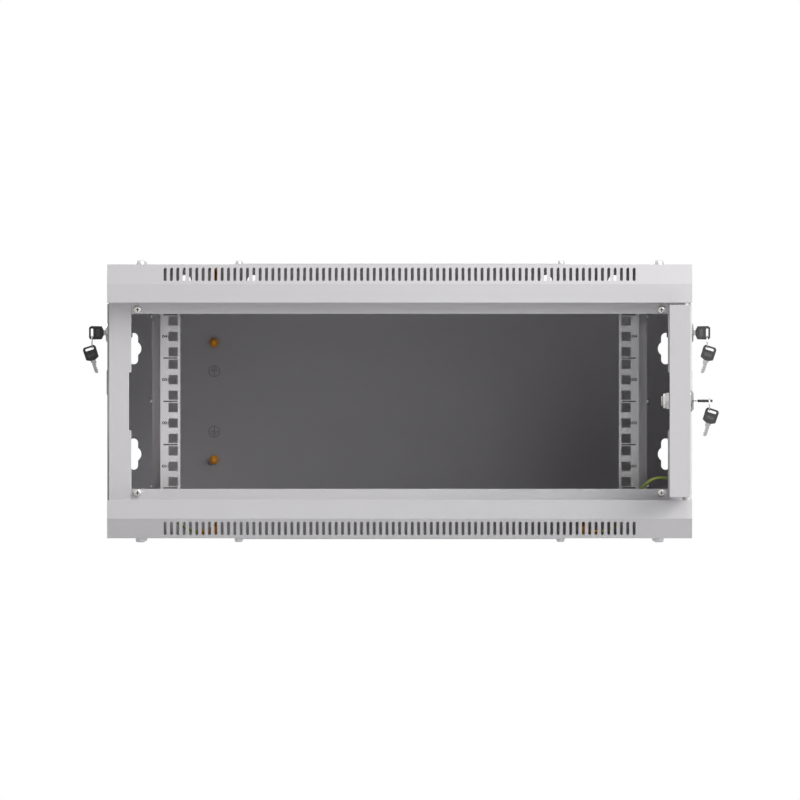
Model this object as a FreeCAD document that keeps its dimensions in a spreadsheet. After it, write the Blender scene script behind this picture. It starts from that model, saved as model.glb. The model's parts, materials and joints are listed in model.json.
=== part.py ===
import FreeCAD, Part
import math
import os
import re

import Sketcher

# Wall mount network cabinet, four rack units, folded sheet steel with a glass door.
# Frame: +X to the right seen from the front, +Y into the wall, +Z up, millimetres.
# Origin: middle of the rear panel's back face, on the wall.
# The glass door is modelled open by 90 degrees, the position in which it was photographed.

Vector = FreeCAD.Vector
Rotation = FreeCAD.Rotation

doc = FreeCAD.newDocument("NetworkCabinet")
sheet = doc.addObject("Spreadsheet::Sheet", "Dims")

# Driving dimensions: name, value in millimetres, what it is.
DIMENSIONS = (
    ("body_width", 600, "width over the top and bottom panels"),
    ("body_height", 281, "height over the two decks"),
    ("body_depth", 450, "depth from the wall to the front faces"),
    ("steel", 1.2, "sheet of the panels, posts and door"),
    ("bar_steel", 1.5, "sheet of the depth bars and brackets"),
    ("fit_gap", 0.1, "gap between pieces that are screwed together"),
    ("mitre", 0.4142, "tangent of 22.5 degrees, for the bevel's two bends"),
    ("bevel", 20.2, "height and depth of the front bevel"),
    ("panel_face", 39.2, "deck to the lower edge of the front face"),
    ("recess", 22.5, "front face to the inner band"),
    ("band_height", 11.5, "height of the inner band"),
    ("band_lip", 10, "lip behind the band"),
    ("slot_pitch", 6.5, "pitch of the bevel slots"),
    ("slot_count", 75, "slots in one bevel"),
    ("slot_width", 3, "width of a bevel slot"),
    ("slot_length", 19.6, "length of a bevel slot along the bevel"),
    ("rear_lip", 8, "lip down the rear panel"),
    ("side_inset", 1.7, "posts and rear panel inside the overall width"),
    ("shelf_width", 12.8, "inward flange that the side panel stands on"),
    ("post_face", 23, "width of a post's front face"),
    ("post_inner", 14, "depth of a post's inner return"),
    ("post_outer", 16, "depth of a post's outer return"),
    ("cam_window", 59.4, "height of the cut-out for the lock's cam"),
    ("cam_window_in", 2.4, "how far the cut-out reaches into the face"),
    ("rear_return", 20, "side return of the rear panel"),
    ("keyhole_in", 24.2, "keyholes inside the overall width"),
    ("keyhole_z", 54.7, "keyholes above and below the middle"),
    ("keyhole_slot", 9, "width of a keyhole's slot"),
    ("keyhole_tall", 32.4, "length of a keyhole's slot"),
    ("keyhole_head", 15.8, "diameter of a keyhole's middle"),
    ("wall_hole", 12.3, "diameter of the upper wall holes"),
    ("wall_hole_drop", 14.4, "upper wall holes under the deck"),
    ("wall_hole_in", 152, "inner pair of wall holes from the middle"),
    ("wall_hole_out", 222.5, "outer pair of wall holes from the middle"),
    ("cover_width", 341, "cable cover, left to right"),
    ("cover_depth", 140, "cable cover, front to back"),
    ("cover_steel", 1.5, "sheet of the cable covers"),
    ("cover_y", -170, "middle of the cable covers"),
    ("entry_width", 300, "cable entry, left to right"),
    ("entry_depth", 110, "cable entry, front to back"),
    ("bar_in", 0.1, "gap from a rail's web to the depth bar's inner web"),
    ("bar_side_gap", 17, "depth bar's outer web inside the overall width"),
    ("bar_inner_drop", 26.3, "height of the depth bar's inner web"),
    ("bar_outer_drop", 42.3, "height of the depth bar's outer web"),
    ("bar_setback", 39, "front end of the depth bars behind the front faces"),
    ("rail_inside", 74.8, "inner edge of the rails inside the overall width"),
    ("rail_face", 20.5, "width of a rail's front face"),
    ("rail_step", 8.5, "outward step of a rail"),
    ("rail_steel", 2, "sheet of the rails"),
    ("rail_setback", 60, "rails behind the front faces"),
    ("rail_web", 24, "front face to the step"),
    ("rail_tail", 26, "depth of the rail's side web"),
    ("rail_gap", 1.8, "rails from the decks"),
    ("rail_travel", 200, "how far the rails shift in depth"),
    ("rack_unit", 44.45, "height of a rack unit"),
    ("rack_hole", 9.5, "square hole"),
    ("rack_hole_x", 7.35, "middle of the square holes from the rail's inner edge"),
    ("rack_hole_step", 15.875, "square hole to the next within a unit"),
    ("clamp_drop", 12.3, "clamp screws from the decks"),
    ("clamp_back", 38, "clamp screws behind the rail's front"),
    ("side_screw_in", 0.9, "end side screws inside the outer rack units"),
    ("side_steel", 1, "sheet of the side panels"),
    ("side_return", 10, "folded edge of the side panels"),
    ("side_gap", 0.8, "gap between a side panel and the posts"),
    ("stand_gap", 0.3, "gap under a side panel"),
    ("lift_gap", 1.3, "room over a side panel"),
    ("field_low", 5.6, "lower edge of the pressed field"),
    ("field_high", 33.3, "upper edge of the pressed field"),
    ("field_out", 1.8, "height of the pressed field"),
    ("field_long", 120, "length of the pressed field"),
    ("side_lock_z", 69.8, "side locks under the deck's top"),
    ("tab_width", 40, "hook tabs under the side panels"),
    ("tab_drop", 9, "length of the hook tabs"),
    ("tab_spread", 115, "hook tabs from the panel's middle"),
    ("axis_in", 5.8, "door axis inside the overall width"),
    ("axis_back", 4.4, "door axis behind the front face"),
    ("axis_edge", 4.2, "door axis from the door's face and end"),
    ("door_depth", 21.2, "thickness of the door"),
    ("door_angle", 89.56, "opening of the door in degrees, along the camera's line of sight"),
    ("door_gap_top", 3.9, "gap over the door"),
    ("door_gap_low", 4.7, "gap under the door"),
    ("hinge_strip", 45, "width of the hinge stile"),
    ("lock_strip", 75, "width of the lock stile"),
    ("lock_flange", 65, "inner flange of the lock stile"),
    ("hinge_lip", 14, "inner lip of the hinge stile"),
    ("rebate", 15, "rebate that carries the glass"),
    ("glass_steel", 4, "thickness of the glass"),
    ("tape", 0.6, "thickness of the bonding tape"),
    ("glass_gap", 0.5, "gap round the glass"),
    ("pin_radius", 2.5, "hinge pins"),
    ("pin_gap", 0.05, "radial clearance of the hinge pins"),
    ("lock_from_end", 43.4, "door lock from the door's free end"),
    ("door_lock_z", 0.5, "door lock above the middle"),
    ("barrel_radius", 6, "lock barrel"),
    ("plug_radius", 4, "lock plug"),
    ("rosette_radius", 11.45, "lock rosette at the panel"),
    ("rosette_face", 8.2, "lock rosette at its face"),
    ("rosette_high", 3.1, "height of the lock rosette"),
    ("nut_flats", 16.4, "lock nut across its flats"),
    ("nut_thick", 3.4, "lock nut"),
    ("cam_thick", 2.6, "lock cam"),
    ("cam_wide", 14.7, "width of the lock cam"),
    ("cam_long", 30, "axis to the tip of the door's cam"),
    ("side_cam_long", 34, "axis to the tip of a side cam"),
    ("door_barrel", 25, "barrel of the door lock behind the face"),
    ("side_barrel", 19.7, "barrel of the side locks behind the face"),
    ("bow_long", 15.2, "key head along the key"),
    ("bow_wide", 14, "key head across the key"),
    ("bow_thick", 2.9, "key head"),
    ("bow_shoulder", 3, "key head's taper along the key"),
    ("bow_shoulder_in", 2.4, "key head's taper across the key"),
    ("bow_corner", 1.8, "key head's outer corners"),
    ("bow_slot_far", 12.05, "ring slot's middle from the head's inner end"),
    ("bow_slot_high", 2.7, "ring slot along the key"),
    ("bow_slot_wide", 9, "ring slot across the key"),
    ("blade_wide", 4.6, "key blade"),
    ("blade_thick", 1.2, "key blade"),
    ("blade_long", 12, "key blade beyond its shoulder"),
    ("shoulder_long", 1.9, "key shoulder"),
    ("shoulder_wide", 7, "key shoulder"),
    ("side_key_out", 5.2, "key head from the side panel"),
    ("door_key_out", 7, "key head from the door"),
    ("ring_radius", 6.2, "key ring, middle of its wire"),
    ("ring_wire", 0.65, "radius of the key ring's wire"),
    ("ring_drop", 3.55, "ring's middle under the rim that it hangs on"),
    ("rim_middle", 5.8, "key axis to the middle of the head's rim"),
    ("hole_gap", 0.1, "radial clearance of screws in plain holes"),
    ("deck_screw_in", 11.9, "deck screws beside the depth bar's inner web"),
    ("deck_screw_head", 5.1, "deck screw head"),
    ("deck_head_high", 4.3, "deck screw head"),
    ("deck_shank", 2.9, "deck screw"),
    ("cover_screw_end", 4.5, "cover screws from the cover's ends"),
    ("cover_screw_edge", 10, "cover screws from the cover's long edges"),
    ("cover_screw_head", 4, "cover screw head"),
    ("cover_shank", 1.9, "cover screw"),
    ("small_head_high", 3, "cover screw head"),
    ("band_screw_in", 6.4, "band screws beside the posts"),
    ("band_screw_drop", 7.3, "band screws from the front faces"),
    ("band_screw_head", 4.1, "band screw head"),
    ("band_head_high", 2.5, "band screw head"),
    ("band_shank", 2, "band screw"),
    ("bracket_leg", 41, "leg of a corner bracket"),
    ("bracket_wide", 19, "plate of a corner bracket"),
    ("stud_radius", 3, "earth studs"),
    ("stud_long", 18, "earth studs on the rear panel and decks"),
    ("stud_x", 190, "earth studs on the decks from the middle"),
    ("rear_stud_x", 192.2, "earth studs on the rear panel from the middle"),
    ("stud_z", 60.6, "rear earth studs above and below the middle"),
    ("deck_stud_setback", 55, "earth studs on the decks behind the front faces"),
    ("post_stud_in", 17.8, "earth studs on the posts inside the overall width"),
    ("post_stud_down", 55.6, "earth studs on the posts under the middle"),
    ("post_stud_long", 23, "earth studs on the posts"),
    ("nut_circle", 5.2, "earth nut over its corners, radius"),
    ("nut_high", 4.5, "earth nut"),
    ("lug_thick", 1, "cable lug"),
    ("lug_radius", 4.8, "cable lug"),
    ("lug_neck", 6.2, "cable lug, eye to barrel"),
    ("lug_barrel", 8, "cable lug's barrel"),
    ("lug_wall", 0.7, "cable lug's barrel"),
    ("lug_stand", 12, "post to the lug's back nut"),
    ("lead_radius", 1.6, "earth leads"),
    ("screw_long", 6, "sheet metal screws under their heads"),
    ("clamp_long", 13, "clamp screws"),
    ("clamp_nut_high", 5, "clamp nuts"),
    ("backing_margin", 8, "backing bar beyond its end screws"),
    ("tab_play", 2, "hook tab in its window"),
    ("notch_margin", 4, "door notch over the band"),
    ("block_tall", 15, "hinge blocks"),
    ("block_half", 5.7, "hinge block inside the door axis"),
    ("block_wide", 8.6, "hinge blocks"),
    ("block_back", 10, "hinge block beside the door axis"),
    ("pin_proud", 2.1, "hinge pin through the panel"),
    ("pin_long", 21, "hinge pin below the door's edge"),
    ("finger_drop", 18.5, "finger bar under the door's edge"),
    ("finger_long", 19, "finger bar"),
    ("bush_radius", 4, "hinge bush"),
    ("overcut", 1, "cutting tool beyond its piece"),
)

# Sizes and places worked out from the driving dimensions.
DERIVED = {
    "opening_half": "(body_height / 2 - panel_face)",
    "keyhole_x": "(body_width / 2 - keyhole_in)",
    "wall_hole_z": "(body_height / 2 - steel - wall_hole_drop)",
    "rail_edge": "(body_width / 2 - rail_inside)",
    "hole_column": "(rail_edge + rack_hole_x)",
    "bar_edge": "(rail_edge + rail_face + rail_step + bar_in)",
    "bar_out": "(body_width / 2 - bar_side_gap)",
    "bar_front": "(body_depth - bar_setback)",
    "rail_front": "(body_depth - rail_setback)",
    "rail_height": "(body_height - 2 * steel - 2 * rail_gap)",
    "clamp_z": "(body_height / 2 - steel - clamp_drop)",
    "side_screw_z": "(2 * rack_unit - side_screw_in)",
    "side_lock_up": "(body_height / 2 - side_lock_z)",
    "door_width": "(body_width - 2 * axis_in + 2 * axis_edge)",
    "door_top": "(body_height / 2 - panel_face - door_gap_top)",
    "door_bottom": "(door_gap_low + panel_face - body_height / 2)",
    "deck_screw_x": "(bar_edge + deck_screw_in)",
    "cover_screw_x": "(cover_width / 2 - cover_screw_end)",
    "cover_screw_y": "(cover_depth / 2 - cover_screw_edge)",
    "band_screw_x": "(body_width / 2 - side_inset - post_face - band_screw_in)",
    "band_screw_z": "(body_height / 2 - panel_face - band_screw_drop)",
    "deck_stud_y": "(deck_stud_setback - body_depth)",
    "post_stud_x": "(body_width / 2 - post_stud_in)",
}
ALIASES = [name for name, _, _ in DIMENSIONS]
NAMES = re.compile(r"\b(" + "|".join(ALIASES + list(DERIVED)) + r")\b")

for row, (name, value, meaning) in enumerate(DIMENSIONS, start=1):
    sheet.set("A%d" % row, name)
    sheet.set("B%d" % row, str(value))
    sheet.set("C%d" % row, meaning)
    sheet.setAlias("B%d" % row, name)
doc.recompute()


def value(name):
    """The number in the dimension's cell."""
    return float(getattr(sheet, name))


def bind(thing, path, text):
    """Ties a property to an expression written with the dimensions' names."""
    thing.setExpression(path, NAMES.sub(spelled_out, text))


def spelled_out(match):
    """A dimension as its cell, or a derived size as its own expression in cells."""
    name = match.group(1)
    if name in DERIVED:
        return NAMES.sub(spelled_out, DERIVED[name])
    return "Dims." + name


def place(thing, x, y, z):
    """Ties the three coordinates of an object's place."""
    for axis, text in zip("xyz", (x, y, z)):
        bind(thing, "Placement.Base." + axis, text)


def block(name, x, y, z):
    """A box; each of x, y and z is a (start, size) pair of expressions."""
    box = doc.addObject("Part::Box", name)
    for side, (_, size) in zip(("Length", "Width", "Height"), (x, y, z)):
        bind(box, side, size)
    place(box, x[0], y[0], z[0])
    return box


TURNS = {
    "x": Rotation(Vector(0, 1, 0), 90),
    "-x": Rotation(Vector(0, 1, 0), -90),
    "y": Rotation(Vector(1, 0, 0), -90),
    "-y": Rotation(Vector(1, 0, 0), 90),
    "z": Rotation(),
    "-z": Rotation(Vector(1, 0, 0), 180),
}


def rod(name, axis, at, radius, length):
    """A cylinder that starts at a point and runs along an axis."""
    cylinder = doc.addObject("Part::Cylinder", name)
    cylinder.Placement = FreeCAD.Placement(Vector(), TURNS[axis])
    bind(cylinder, "Radius", radius)
    bind(cylinder, "Height", length)
    place(cylinder, *at)
    return cylinder


def hexagon(name, axis, at, circle, height):
    """A six-sided prism that starts at a point and runs along an axis."""
    prism = doc.addObject("Part::Prism", name)
    prism.Placement = FreeCAD.Placement(Vector(), TURNS[axis])
    prism.Polygon = 6
    bind(prism, "Circumradius", circle)
    bind(prism, "Height", height)
    place(prism, *at)
    return prism


def fuse(name, *pieces):
    """One solid from several."""
    joined = doc.addObject("Part::MultiFuse", name)
    joined.Shapes = list(pieces)
    return joined


def cut(name, base, *tools):
    """The base without its tools."""
    result = doc.addObject("Part::Cut", name)
    result.Base = base
    if len(tools) == 1:
        result.Tool = tools[0]
    else:
        result.Tool = group(name + "_tools", *tools)
    return result


def group(name, *pieces):
    """Separate solids in one object."""
    compound = doc.addObject("Part::Compound", name)
    compound.Links = list(pieces)
    return compound


def mirrored(name, source, normal):
    """The source's twin on the other side of the middle plane."""
    twin = doc.addObject("Part::Mirroring", name)
    twin.Source = source
    twin.Normal = Vector(*normal)
    return twin


def outline(body, name, role, offset, points):
    """A closed sketch of straight lines on one of the body's own planes."""
    sketch = body.newObject("Sketcher::SketchObject", name)
    plane = next(item for item in body.Origin.OriginFeatures if item.Role == role)
    sketch.AttachmentSupport = [(plane, "")]
    sketch.MapMode = "FlatFace"
    bind(sketch, "AttachmentOffset.Base.z", offset)
    count = len(points)
    turn = 2 * math.pi / count
    ring = [Vector(math.cos(turn * k), math.sin(turn * k), 0) for k in range(count)]
    lines = [Part.LineSegment(ring[k], ring[(k + 1) % count]) for k in range(count)]
    sketch.addGeometry(lines, False)
    rules = [Sketcher.Constraint("Coincident", k, 2, (k + 1) % count, 1) for k in range(count)]
    for k in range(count):
        rules.append(Sketcher.Constraint("DistanceX", k, 1, ring[k].x))
        rules.append(Sketcher.Constraint("DistanceY", k, 1, ring[k].y))
    sketch.addConstraint(rules)
    for k, (across, up) in enumerate(points):
        sketch.renameConstraint(count + 2 * k, "across%d" % k)
        sketch.renameConstraint(count + 2 * k + 1, "up%d" % k)
        bind(sketch, "Constraints.across%d" % k, across)
        bind(sketch, "Constraints.up%d" % k, up)
    return sketch


def pad(body, sketch, length, symmetric=False):
    """The sketch made solid along its normal."""
    feature = body.newObject("PartDesign::Pad", sketch.Name + "_pad")
    feature.Profile = sketch
    if symmetric:
        feature.SideType = "Symmetric"
    bind(feature, "Length", length)
    return feature


def profile(name, role, offset, length, points, symmetric=False):
    """A body with one padded outline."""
    body = doc.addObject("PartDesign::Body", name)
    sketch = outline(body, name + "_outline", role, offset, points)
    pad(body, sketch, length, symmetric)
    return body


parts = []


def sub_part(thing, label):
    """Marks an object as one of the cabinet's pieces."""
    thing.Label = label
    parts.append(thing)
    return thing


def hung(thing, label):
    """A piece of the door, drawn at a right angle, turned about the door's axis to its opening."""
    thing.Label = label + "_drawn"
    turned = doc.addObject("Part::Compound", thing.Name + "_hung")
    turned.Links = [thing]
    bind(turned, "Placement.Rotation.Angle", "door_angle - 90")
    turn = "(door_angle - 90)"
    bind(turned, "Placement.Base.x", "(%s) * (1 - cos(%s)) + (%s) * sin(%s)" % (AXIS_X, turn, AXIS_Y, turn))
    bind(turned, "Placement.Base.y", "(%s) * (1 - cos(%s)) - (%s) * sin(%s)" % (AXIS_Y, turn, AXIS_X, turn))
    return sub_part(turned, label)


def both_sides(thing, stem):
    """The right-hand piece and its twin on the left."""
    sub_part(thing, stem + "_right")
    return sub_part(mirrored(stem + "_twin", thing, (1, 0, 0)), stem + "_left")


# Places that several pieces share, as expressions in the dimensions' names.
DECK = "body_height / 2"
UNDER_DECK = "body_height / 2 - steel"
FRONT = "-body_depth"
BAND_Y = "recess - body_depth"
BAND_Z = "opening_half - band_height"
SIDE = "body_width / 2 - side_inset"
FLUSH = "body_width / 2"
AXIS_X = "body_width / 2 - axis_in"
AXIS_Y = "axis_back - body_depth"
POST_IN = "body_width / 2 - side_inset - post_face"
SIDE_FRONT = "recess - body_depth + post_outer + side_gap"
SIDE_MIDDLE = "(recess - body_depth + post_outer - rear_return) / 2"
DOOR_OUT = "body_width / 2 - axis_in + axis_edge"
DOOR_IN = "body_width / 2 - axis_in + axis_edge - door_depth"
DOOR_START = "axis_back - body_depth + axis_edge"
DOOR_END = "axis_back - body_depth + axis_edge - door_width"
DOOR_TALL = "door_top - door_bottom"
LOCK_Y = "axis_back - body_depth + axis_edge - door_width + lock_from_end"
BAR_TOP = "body_height / 2 - steel"


def front_shell():
    """Deck, slotted bevel, front face, return, band and end plates of the top panel."""
    body = doc.addObject("PartDesign::Body", "shell")
    face_top = DECK + " - bevel"
    folded = outline(body, "shell_fold", "YZ_Plane", "0", [
        ("0", DECK),
        (FRONT + " + bevel", DECK),
        (FRONT, face_top),
        (FRONT, "opening_half"),
        (BAND_Y, "opening_half"),
        (BAND_Y, "opening_half + steel"),
        (FRONT + " + steel", "opening_half + steel"),
        (FRONT + " + steel", face_top + " - mitre * steel"),
        (FRONT + " + bevel + mitre * steel", UNDER_DECK),
        ("0", UNDER_DECK),
    ])
    pad(body, folded, "body_width", symmetric=True)
    band = outline(body, "shell_band", "YZ_Plane", "0", [
        (BAND_Y, "opening_half + steel"),
        (BAND_Y, BAND_Z),
        (BAND_Y + " + band_lip", BAND_Z),
        (BAND_Y + " + band_lip", BAND_Z + " + steel"),
        (BAND_Y + " + steel", BAND_Z + " + steel"),
        (BAND_Y + " + steel", "opening_half + steel"),
    ])
    pad(body, band, "body_width - 2 * side_inset - 2 * post_face - 2 * fit_gap", symmetric=True)
    lip = outline(body, "shell_lip", "YZ_Plane", "0", [
        ("-steel", UNDER_DECK),
        ("-steel", UNDER_DECK + " - rear_lip"),
        ("-2 * steel", UNDER_DECK + " - rear_lip"),
        ("-2 * steel", UNDER_DECK),
    ])
    pad(body, lip, "2 * bar_edge", symmetric=True)
    slot = slot_sketch(body)
    pocket = body.newObject("PartDesign::Pocket", "shell_slot")
    pocket.Profile = slot
    pocket.SideType = "Symmetric"
    bind(pocket, "Length", "4 * steel")
    doc.recompute()
    row = body.newObject("PartDesign::LinearPattern", "shell_slots")
    row.Originals = [pocket]
    row.Direction = (slot, ["H_Axis"])
    row.Mode = "Extent"
    bind(row, "Length", "slot_pitch * (slot_count - 1)")
    bind(row, "Occurrences", "slot_count")
    body.Tip = row
    return body


def slot_sketch(body):
    """One round-ended slot in the plane of the bevel, at the left end of the row."""
    sketch = body.newObject("Sketcher::SketchObject", "shell_slot_sketch")
    plane = next(item for item in body.Origin.OriginFeatures if item.Role == "XY_Plane")
    sketch.AttachmentSupport = [(plane, "")]
    sketch.MapMode = "FlatFace"
    sketch.AttachmentOffset = FreeCAD.Placement(Vector(), Rotation(Vector(1, 0, 0), 45))
    bind(sketch, "AttachmentOffset.Base.y", FRONT + " + bevel / 2")
    bind(sketch, "AttachmentOffset.Base.z", DECK + " - bevel / 2")
    radius = value("slot_width") / 2
    reach = value("slot_length") / 2 - radius
    left = -value("slot_pitch") * (value("slot_count") - 1) / 2
    top = Part.Circle(Vector(left, reach, 0), Vector(0, 0, 1), radius)
    bottom = Part.Circle(Vector(left, -reach, 0), Vector(0, 0, 1), radius)
    sketch.addGeometry([
        Part.LineSegment(Vector(left - radius, -reach, 0), Vector(left - radius, reach, 0)),
        Part.ArcOfCircle(top, 0, math.pi),
        Part.LineSegment(Vector(left + radius, reach, 0), Vector(left + radius, -reach, 0)),
        Part.ArcOfCircle(bottom, math.pi, 2 * math.pi),
    ], False)
    sketch.addConstraint([
        Sketcher.Constraint("Tangent", 0, 2, 1, 2),
        Sketcher.Constraint("Tangent", 1, 1, 2, 1),
        Sketcher.Constraint("Tangent", 2, 2, 3, 2),
        Sketcher.Constraint("Tangent", 3, 1, 0, 1),
        Sketcher.Constraint("Equal", 1, 3),
        Sketcher.Constraint("Vertical", 0),
    ])
    sizes = (
        (Sketcher.Constraint("Radius", 1, radius), "radius", "slot_width / 2"),
        (Sketcher.Constraint("DistanceX", 1, 3, left), "left", "-slot_pitch * (slot_count - 1) / 2"),
        (Sketcher.Constraint("DistanceY", 1, 3, reach), "top", "(slot_length - slot_width) / 2"),
        (Sketcher.Constraint("DistanceY", 3, 3, -reach), "low", "-(slot_length - slot_width) / 2"),
    )
    for rule, name, text in sizes:
        index = sketch.addConstraint(rule)
        sketch.renameConstraint(index, name)
        bind(sketch, "Constraints." + name, text)
    return sketch


def end_plate(side, start):
    """End plate of the top panel, from the deck down to the side panel."""
    return profile("end_plate_" + side, "YZ_Plane", start, "steel", [
        ("0", DECK),
        (FRONT + " + bevel", DECK),
        (FRONT, DECK + " - bevel"),
        (FRONT, "opening_half"),
        ("0", "opening_half"),
    ])


def side_shelf(side, start):
    """Inward flange at the foot of an end plate, between the post and the rear return."""
    return block("shelf_" + side, (start, "shelf_width"),
                 (SIDE_FRONT, "-(" + SIDE_FRONT + ") - rear_return - side_gap"),
                 ("opening_half", "steel"))


def deck_holes():
    """Screw holes and the cable entry in a deck, and the hinge pin's hole in the return."""
    tools = [block("entry", ("-entry_width / 2", "entry_width"),
                   ("cover_y - entry_depth / 2", "entry_depth"),
                   (UNDER_DECK + " - steel", "3 * steel"))]
    for count, (x, y) in enumerate(deck_screw_places()):
        tools.append(rod("deck_hole%d" % count, "z", (x, y, UNDER_DECK + " - steel"),
                         "deck_shank + hole_gap", "3 * steel"))
    for count, (x, y) in enumerate(cover_screw_places()):
        tools.append(rod("cover_hole%d" % count, "z", (x, y, UNDER_DECK + " - steel"),
                         "cover_shank + hole_gap", "3 * steel"))
    for count, x in enumerate(("band_screw_x", "-band_screw_x")):
        tools.append(rod("band_hole%d" % count, "y", (x, BAND_Y + " - steel", "band_screw_z"),
                         "band_shank + hole_gap", "3 * steel"))
    tools.append(rod("pin_hole", "z", (AXIS_X, AXIS_Y, "opening_half - steel"),
                     "pin_radius + pin_gap", "3 * steel"))
    return tools


def deck_screw_places():
    """Where the outer deck screws go, as expressions."""
    return [(sign + "deck_screw_x", y) for sign in ("", "-")
            for y in ("-0.82 * body_depth", "-0.16 * body_depth")]


def cover_screw_places():
    """Where a cable cover's screws go, as expressions."""
    return [(sign + "cover_screw_x", "cover_y " + way + " cover_screw_y")
            for sign in ("", "-") for way in ("+", "-")]


def make_panels():
    """Top and bottom panels and their cable covers."""
    shell = fuse("panel_solid", front_shell(),
                 end_plate("right", "body_width / 2 - steel"), end_plate("left", "-body_width / 2"),
                 side_shelf("right", "body_width / 2 - steel - shelf_width"),
                 side_shelf("left", "-body_width / 2 + steel"))
    top = sub_part(cut("top_panel_cut", shell, *deck_holes()), "top_panel")
    bottom = mirrored("bottom_blank", top, (0, 0, 1))
    windows = []
    for count, (x, y) in enumerate(tab_places()):
        windows.append(block("tab_window%d" % count, (x + " - 1.5 * side_return / 2", "side_return"),
                             (y + " - tab_width / 2 - tab_play", "tab_width + 2 * tab_play"),
                             ("-opening_half - 2 * steel", "3 * steel")))
    sub_part(cut("bottom_panel_cut", bottom, *windows), "bottom_panel")
    plate = block("cover_plate", ("-cover_width / 2", "cover_width"),
                  ("cover_y - cover_depth / 2", "cover_depth"), (DECK, "cover_steel"))
    holes = [rod("plate_hole%d" % count, "z", (x, y, DECK + " - steel"),
                 "cover_shank + hole_gap", "3 * steel")
             for count, (x, y) in enumerate(cover_screw_places())]
    cover = sub_part(cut("top_cover_cut", plate, *holes), "top_cable_cover")
    sub_part(mirrored("bottom_cover", cover, (0, 0, 1)), "bottom_cable_cover")


def tab_places():
    """Middle of each hook tab of the two side panels, as expressions."""
    return [(sign + "(" + FLUSH + " - 0.6 * side_return)", SIDE_MIDDLE + way + " tab_spread")
            for sign in ("", "-") for way in (" +", " -")]


def make_frame():
    """Rear panel, front posts, depth bars and corner brackets."""
    half = UNDER_DECK
    back = block("rear_sheet", ("-(" + SIDE + ")", "2 * (" + SIDE + ")"), ("-steel", "steel"),
                 ("-(" + half + ")", "2 * (" + half + ")"))
    returns = [block("rear_return_" + name, (start, "steel"), ("-rear_return", "rear_return"),
                     ("-(" + half + ")", "2 * (" + half + ")"))
               for name, start in (("right", SIDE + " - steel"), ("left", "-(" + SIDE + ")"))]
    tools = []
    for side, x in (("r", "keyhole_x"), ("l", "-keyhole_x")):
        for level, z in (("u", "keyhole_z"), ("d", "-keyhole_z")):
            tools += keyhole(side + level, x, z)
    for count, x in enumerate(("wall_hole_in", "-wall_hole_in", "wall_hole_out", "-wall_hole_out")):
        tools.append(rod("wall_hole%d" % count, "y", (x, "-2 * steel", "wall_hole_z"),
                         "wall_hole / 2", "3 * steel"))
    sub_part(cut("rear_panel_cut", fuse("rear_solid", back, *returns), *tools), "rear_panel")

    face = profile("post_fold", "XY_Plane", "0", "2 * (" + half + ")", [
        (POST_IN, BAND_Y),
        (SIDE, BAND_Y),
        (SIDE, BAND_Y + " + post_outer"),
        (SIDE + " - steel", BAND_Y + " + post_outer"),
        (SIDE + " - steel", BAND_Y + " + steel"),
        (POST_IN + " + steel", BAND_Y + " + steel"),
        (POST_IN + " + steel", BAND_Y + " + post_inner"),
        (POST_IN, BAND_Y + " + post_inner"),
    ], symmetric=True)
    window = block("cam_window_tool", (POST_IN + " - steel", "steel + cam_window_in"),
                   (BAND_Y + " - steel", "post_inner + 2 * steel"), ("-cam_window / 2", "cam_window"))
    both_sides(cut("post_cut", face, window), "front_post")

    bar = profile("bar_fold", "XZ_Plane", "2 * steel + fit_gap", "bar_front - 2 * steel - fit_gap", [
        ("bar_edge", BAR_TOP + " - bar_inner_drop"),
        ("bar_edge + bar_steel", BAR_TOP + " - bar_inner_drop"),
        ("bar_edge + bar_steel", BAR_TOP + " - bar_steel"),
        ("bar_out - bar_steel", BAR_TOP + " - bar_steel"),
        ("bar_out - bar_steel", BAR_TOP + " - bar_outer_drop"),
        ("bar_out", BAR_TOP + " - bar_outer_drop"),
        ("bar_out", BAR_TOP),
        ("bar_edge", BAR_TOP),
    ])
    slide_slot = block("bar_slot", ("bar_edge - bar_steel", "3 * bar_steel"),
                       ("clamp_back - rail_front - deck_shank - 2 * hole_gap",
                        "rail_travel + 2 * deck_shank + 4 * hole_gap"),
                       ("clamp_z - deck_shank - hole_gap", "2 * deck_shank + 2 * hole_gap"))
    holes = [rod("bar_hole%d" % count, "z", (x, y, BAR_TOP + " - 2 * bar_steel"),
                 "deck_shank + hole_gap", "3 * bar_steel")
             for count, (x, y) in enumerate(deck_screw_places()[:2])]
    right = sub_part(cut("bar_cut", bar, slide_slot, *holes), "depth_bar_top_right")
    left = sub_part(mirrored("bar_top_left", right, (1, 0, 0)), "depth_bar_top_left")
    sub_part(mirrored("bar_bottom_right", right, (0, 0, 1)), "depth_bar_bottom_right")
    sub_part(mirrored("bar_bottom_left", left, (0, 0, 1)), "depth_bar_bottom_left")

    inside = "bar_edge + bar_steel + fit_gap"
    plate = block("bracket_plate", (inside, "bracket_wide"), (BAND_Y + " + steel", "bar_steel"),
                  (BAND_Z + " + steel", BAR_TOP + " - 2 * bar_steel - " + "(" + BAND_Z + " + steel)"))
    leg = block("bracket_leg_solid", (inside, "bar_steel"), (BAND_Y + " + steel", "bracket_leg"),
                (BAR_TOP + " - bar_inner_drop", "bar_inner_drop - 2 * bar_steel"))
    hole = rod("bracket_hole", "y", ("band_screw_x", BAND_Y, "band_screw_z"),
               "band_shank + hole_gap", "6 * steel")
    bracket = cut("bracket_cut", fuse("bracket_solid", plate, leg), hole)
    other = mirrored("bracket_left", bracket, (1, 0, 0))
    upper = group("brackets_upper", bracket, other)
    sub_part(group("brackets", upper, mirrored("brackets_lower", upper, (0, 0, 1))), "corner_brackets")


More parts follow.
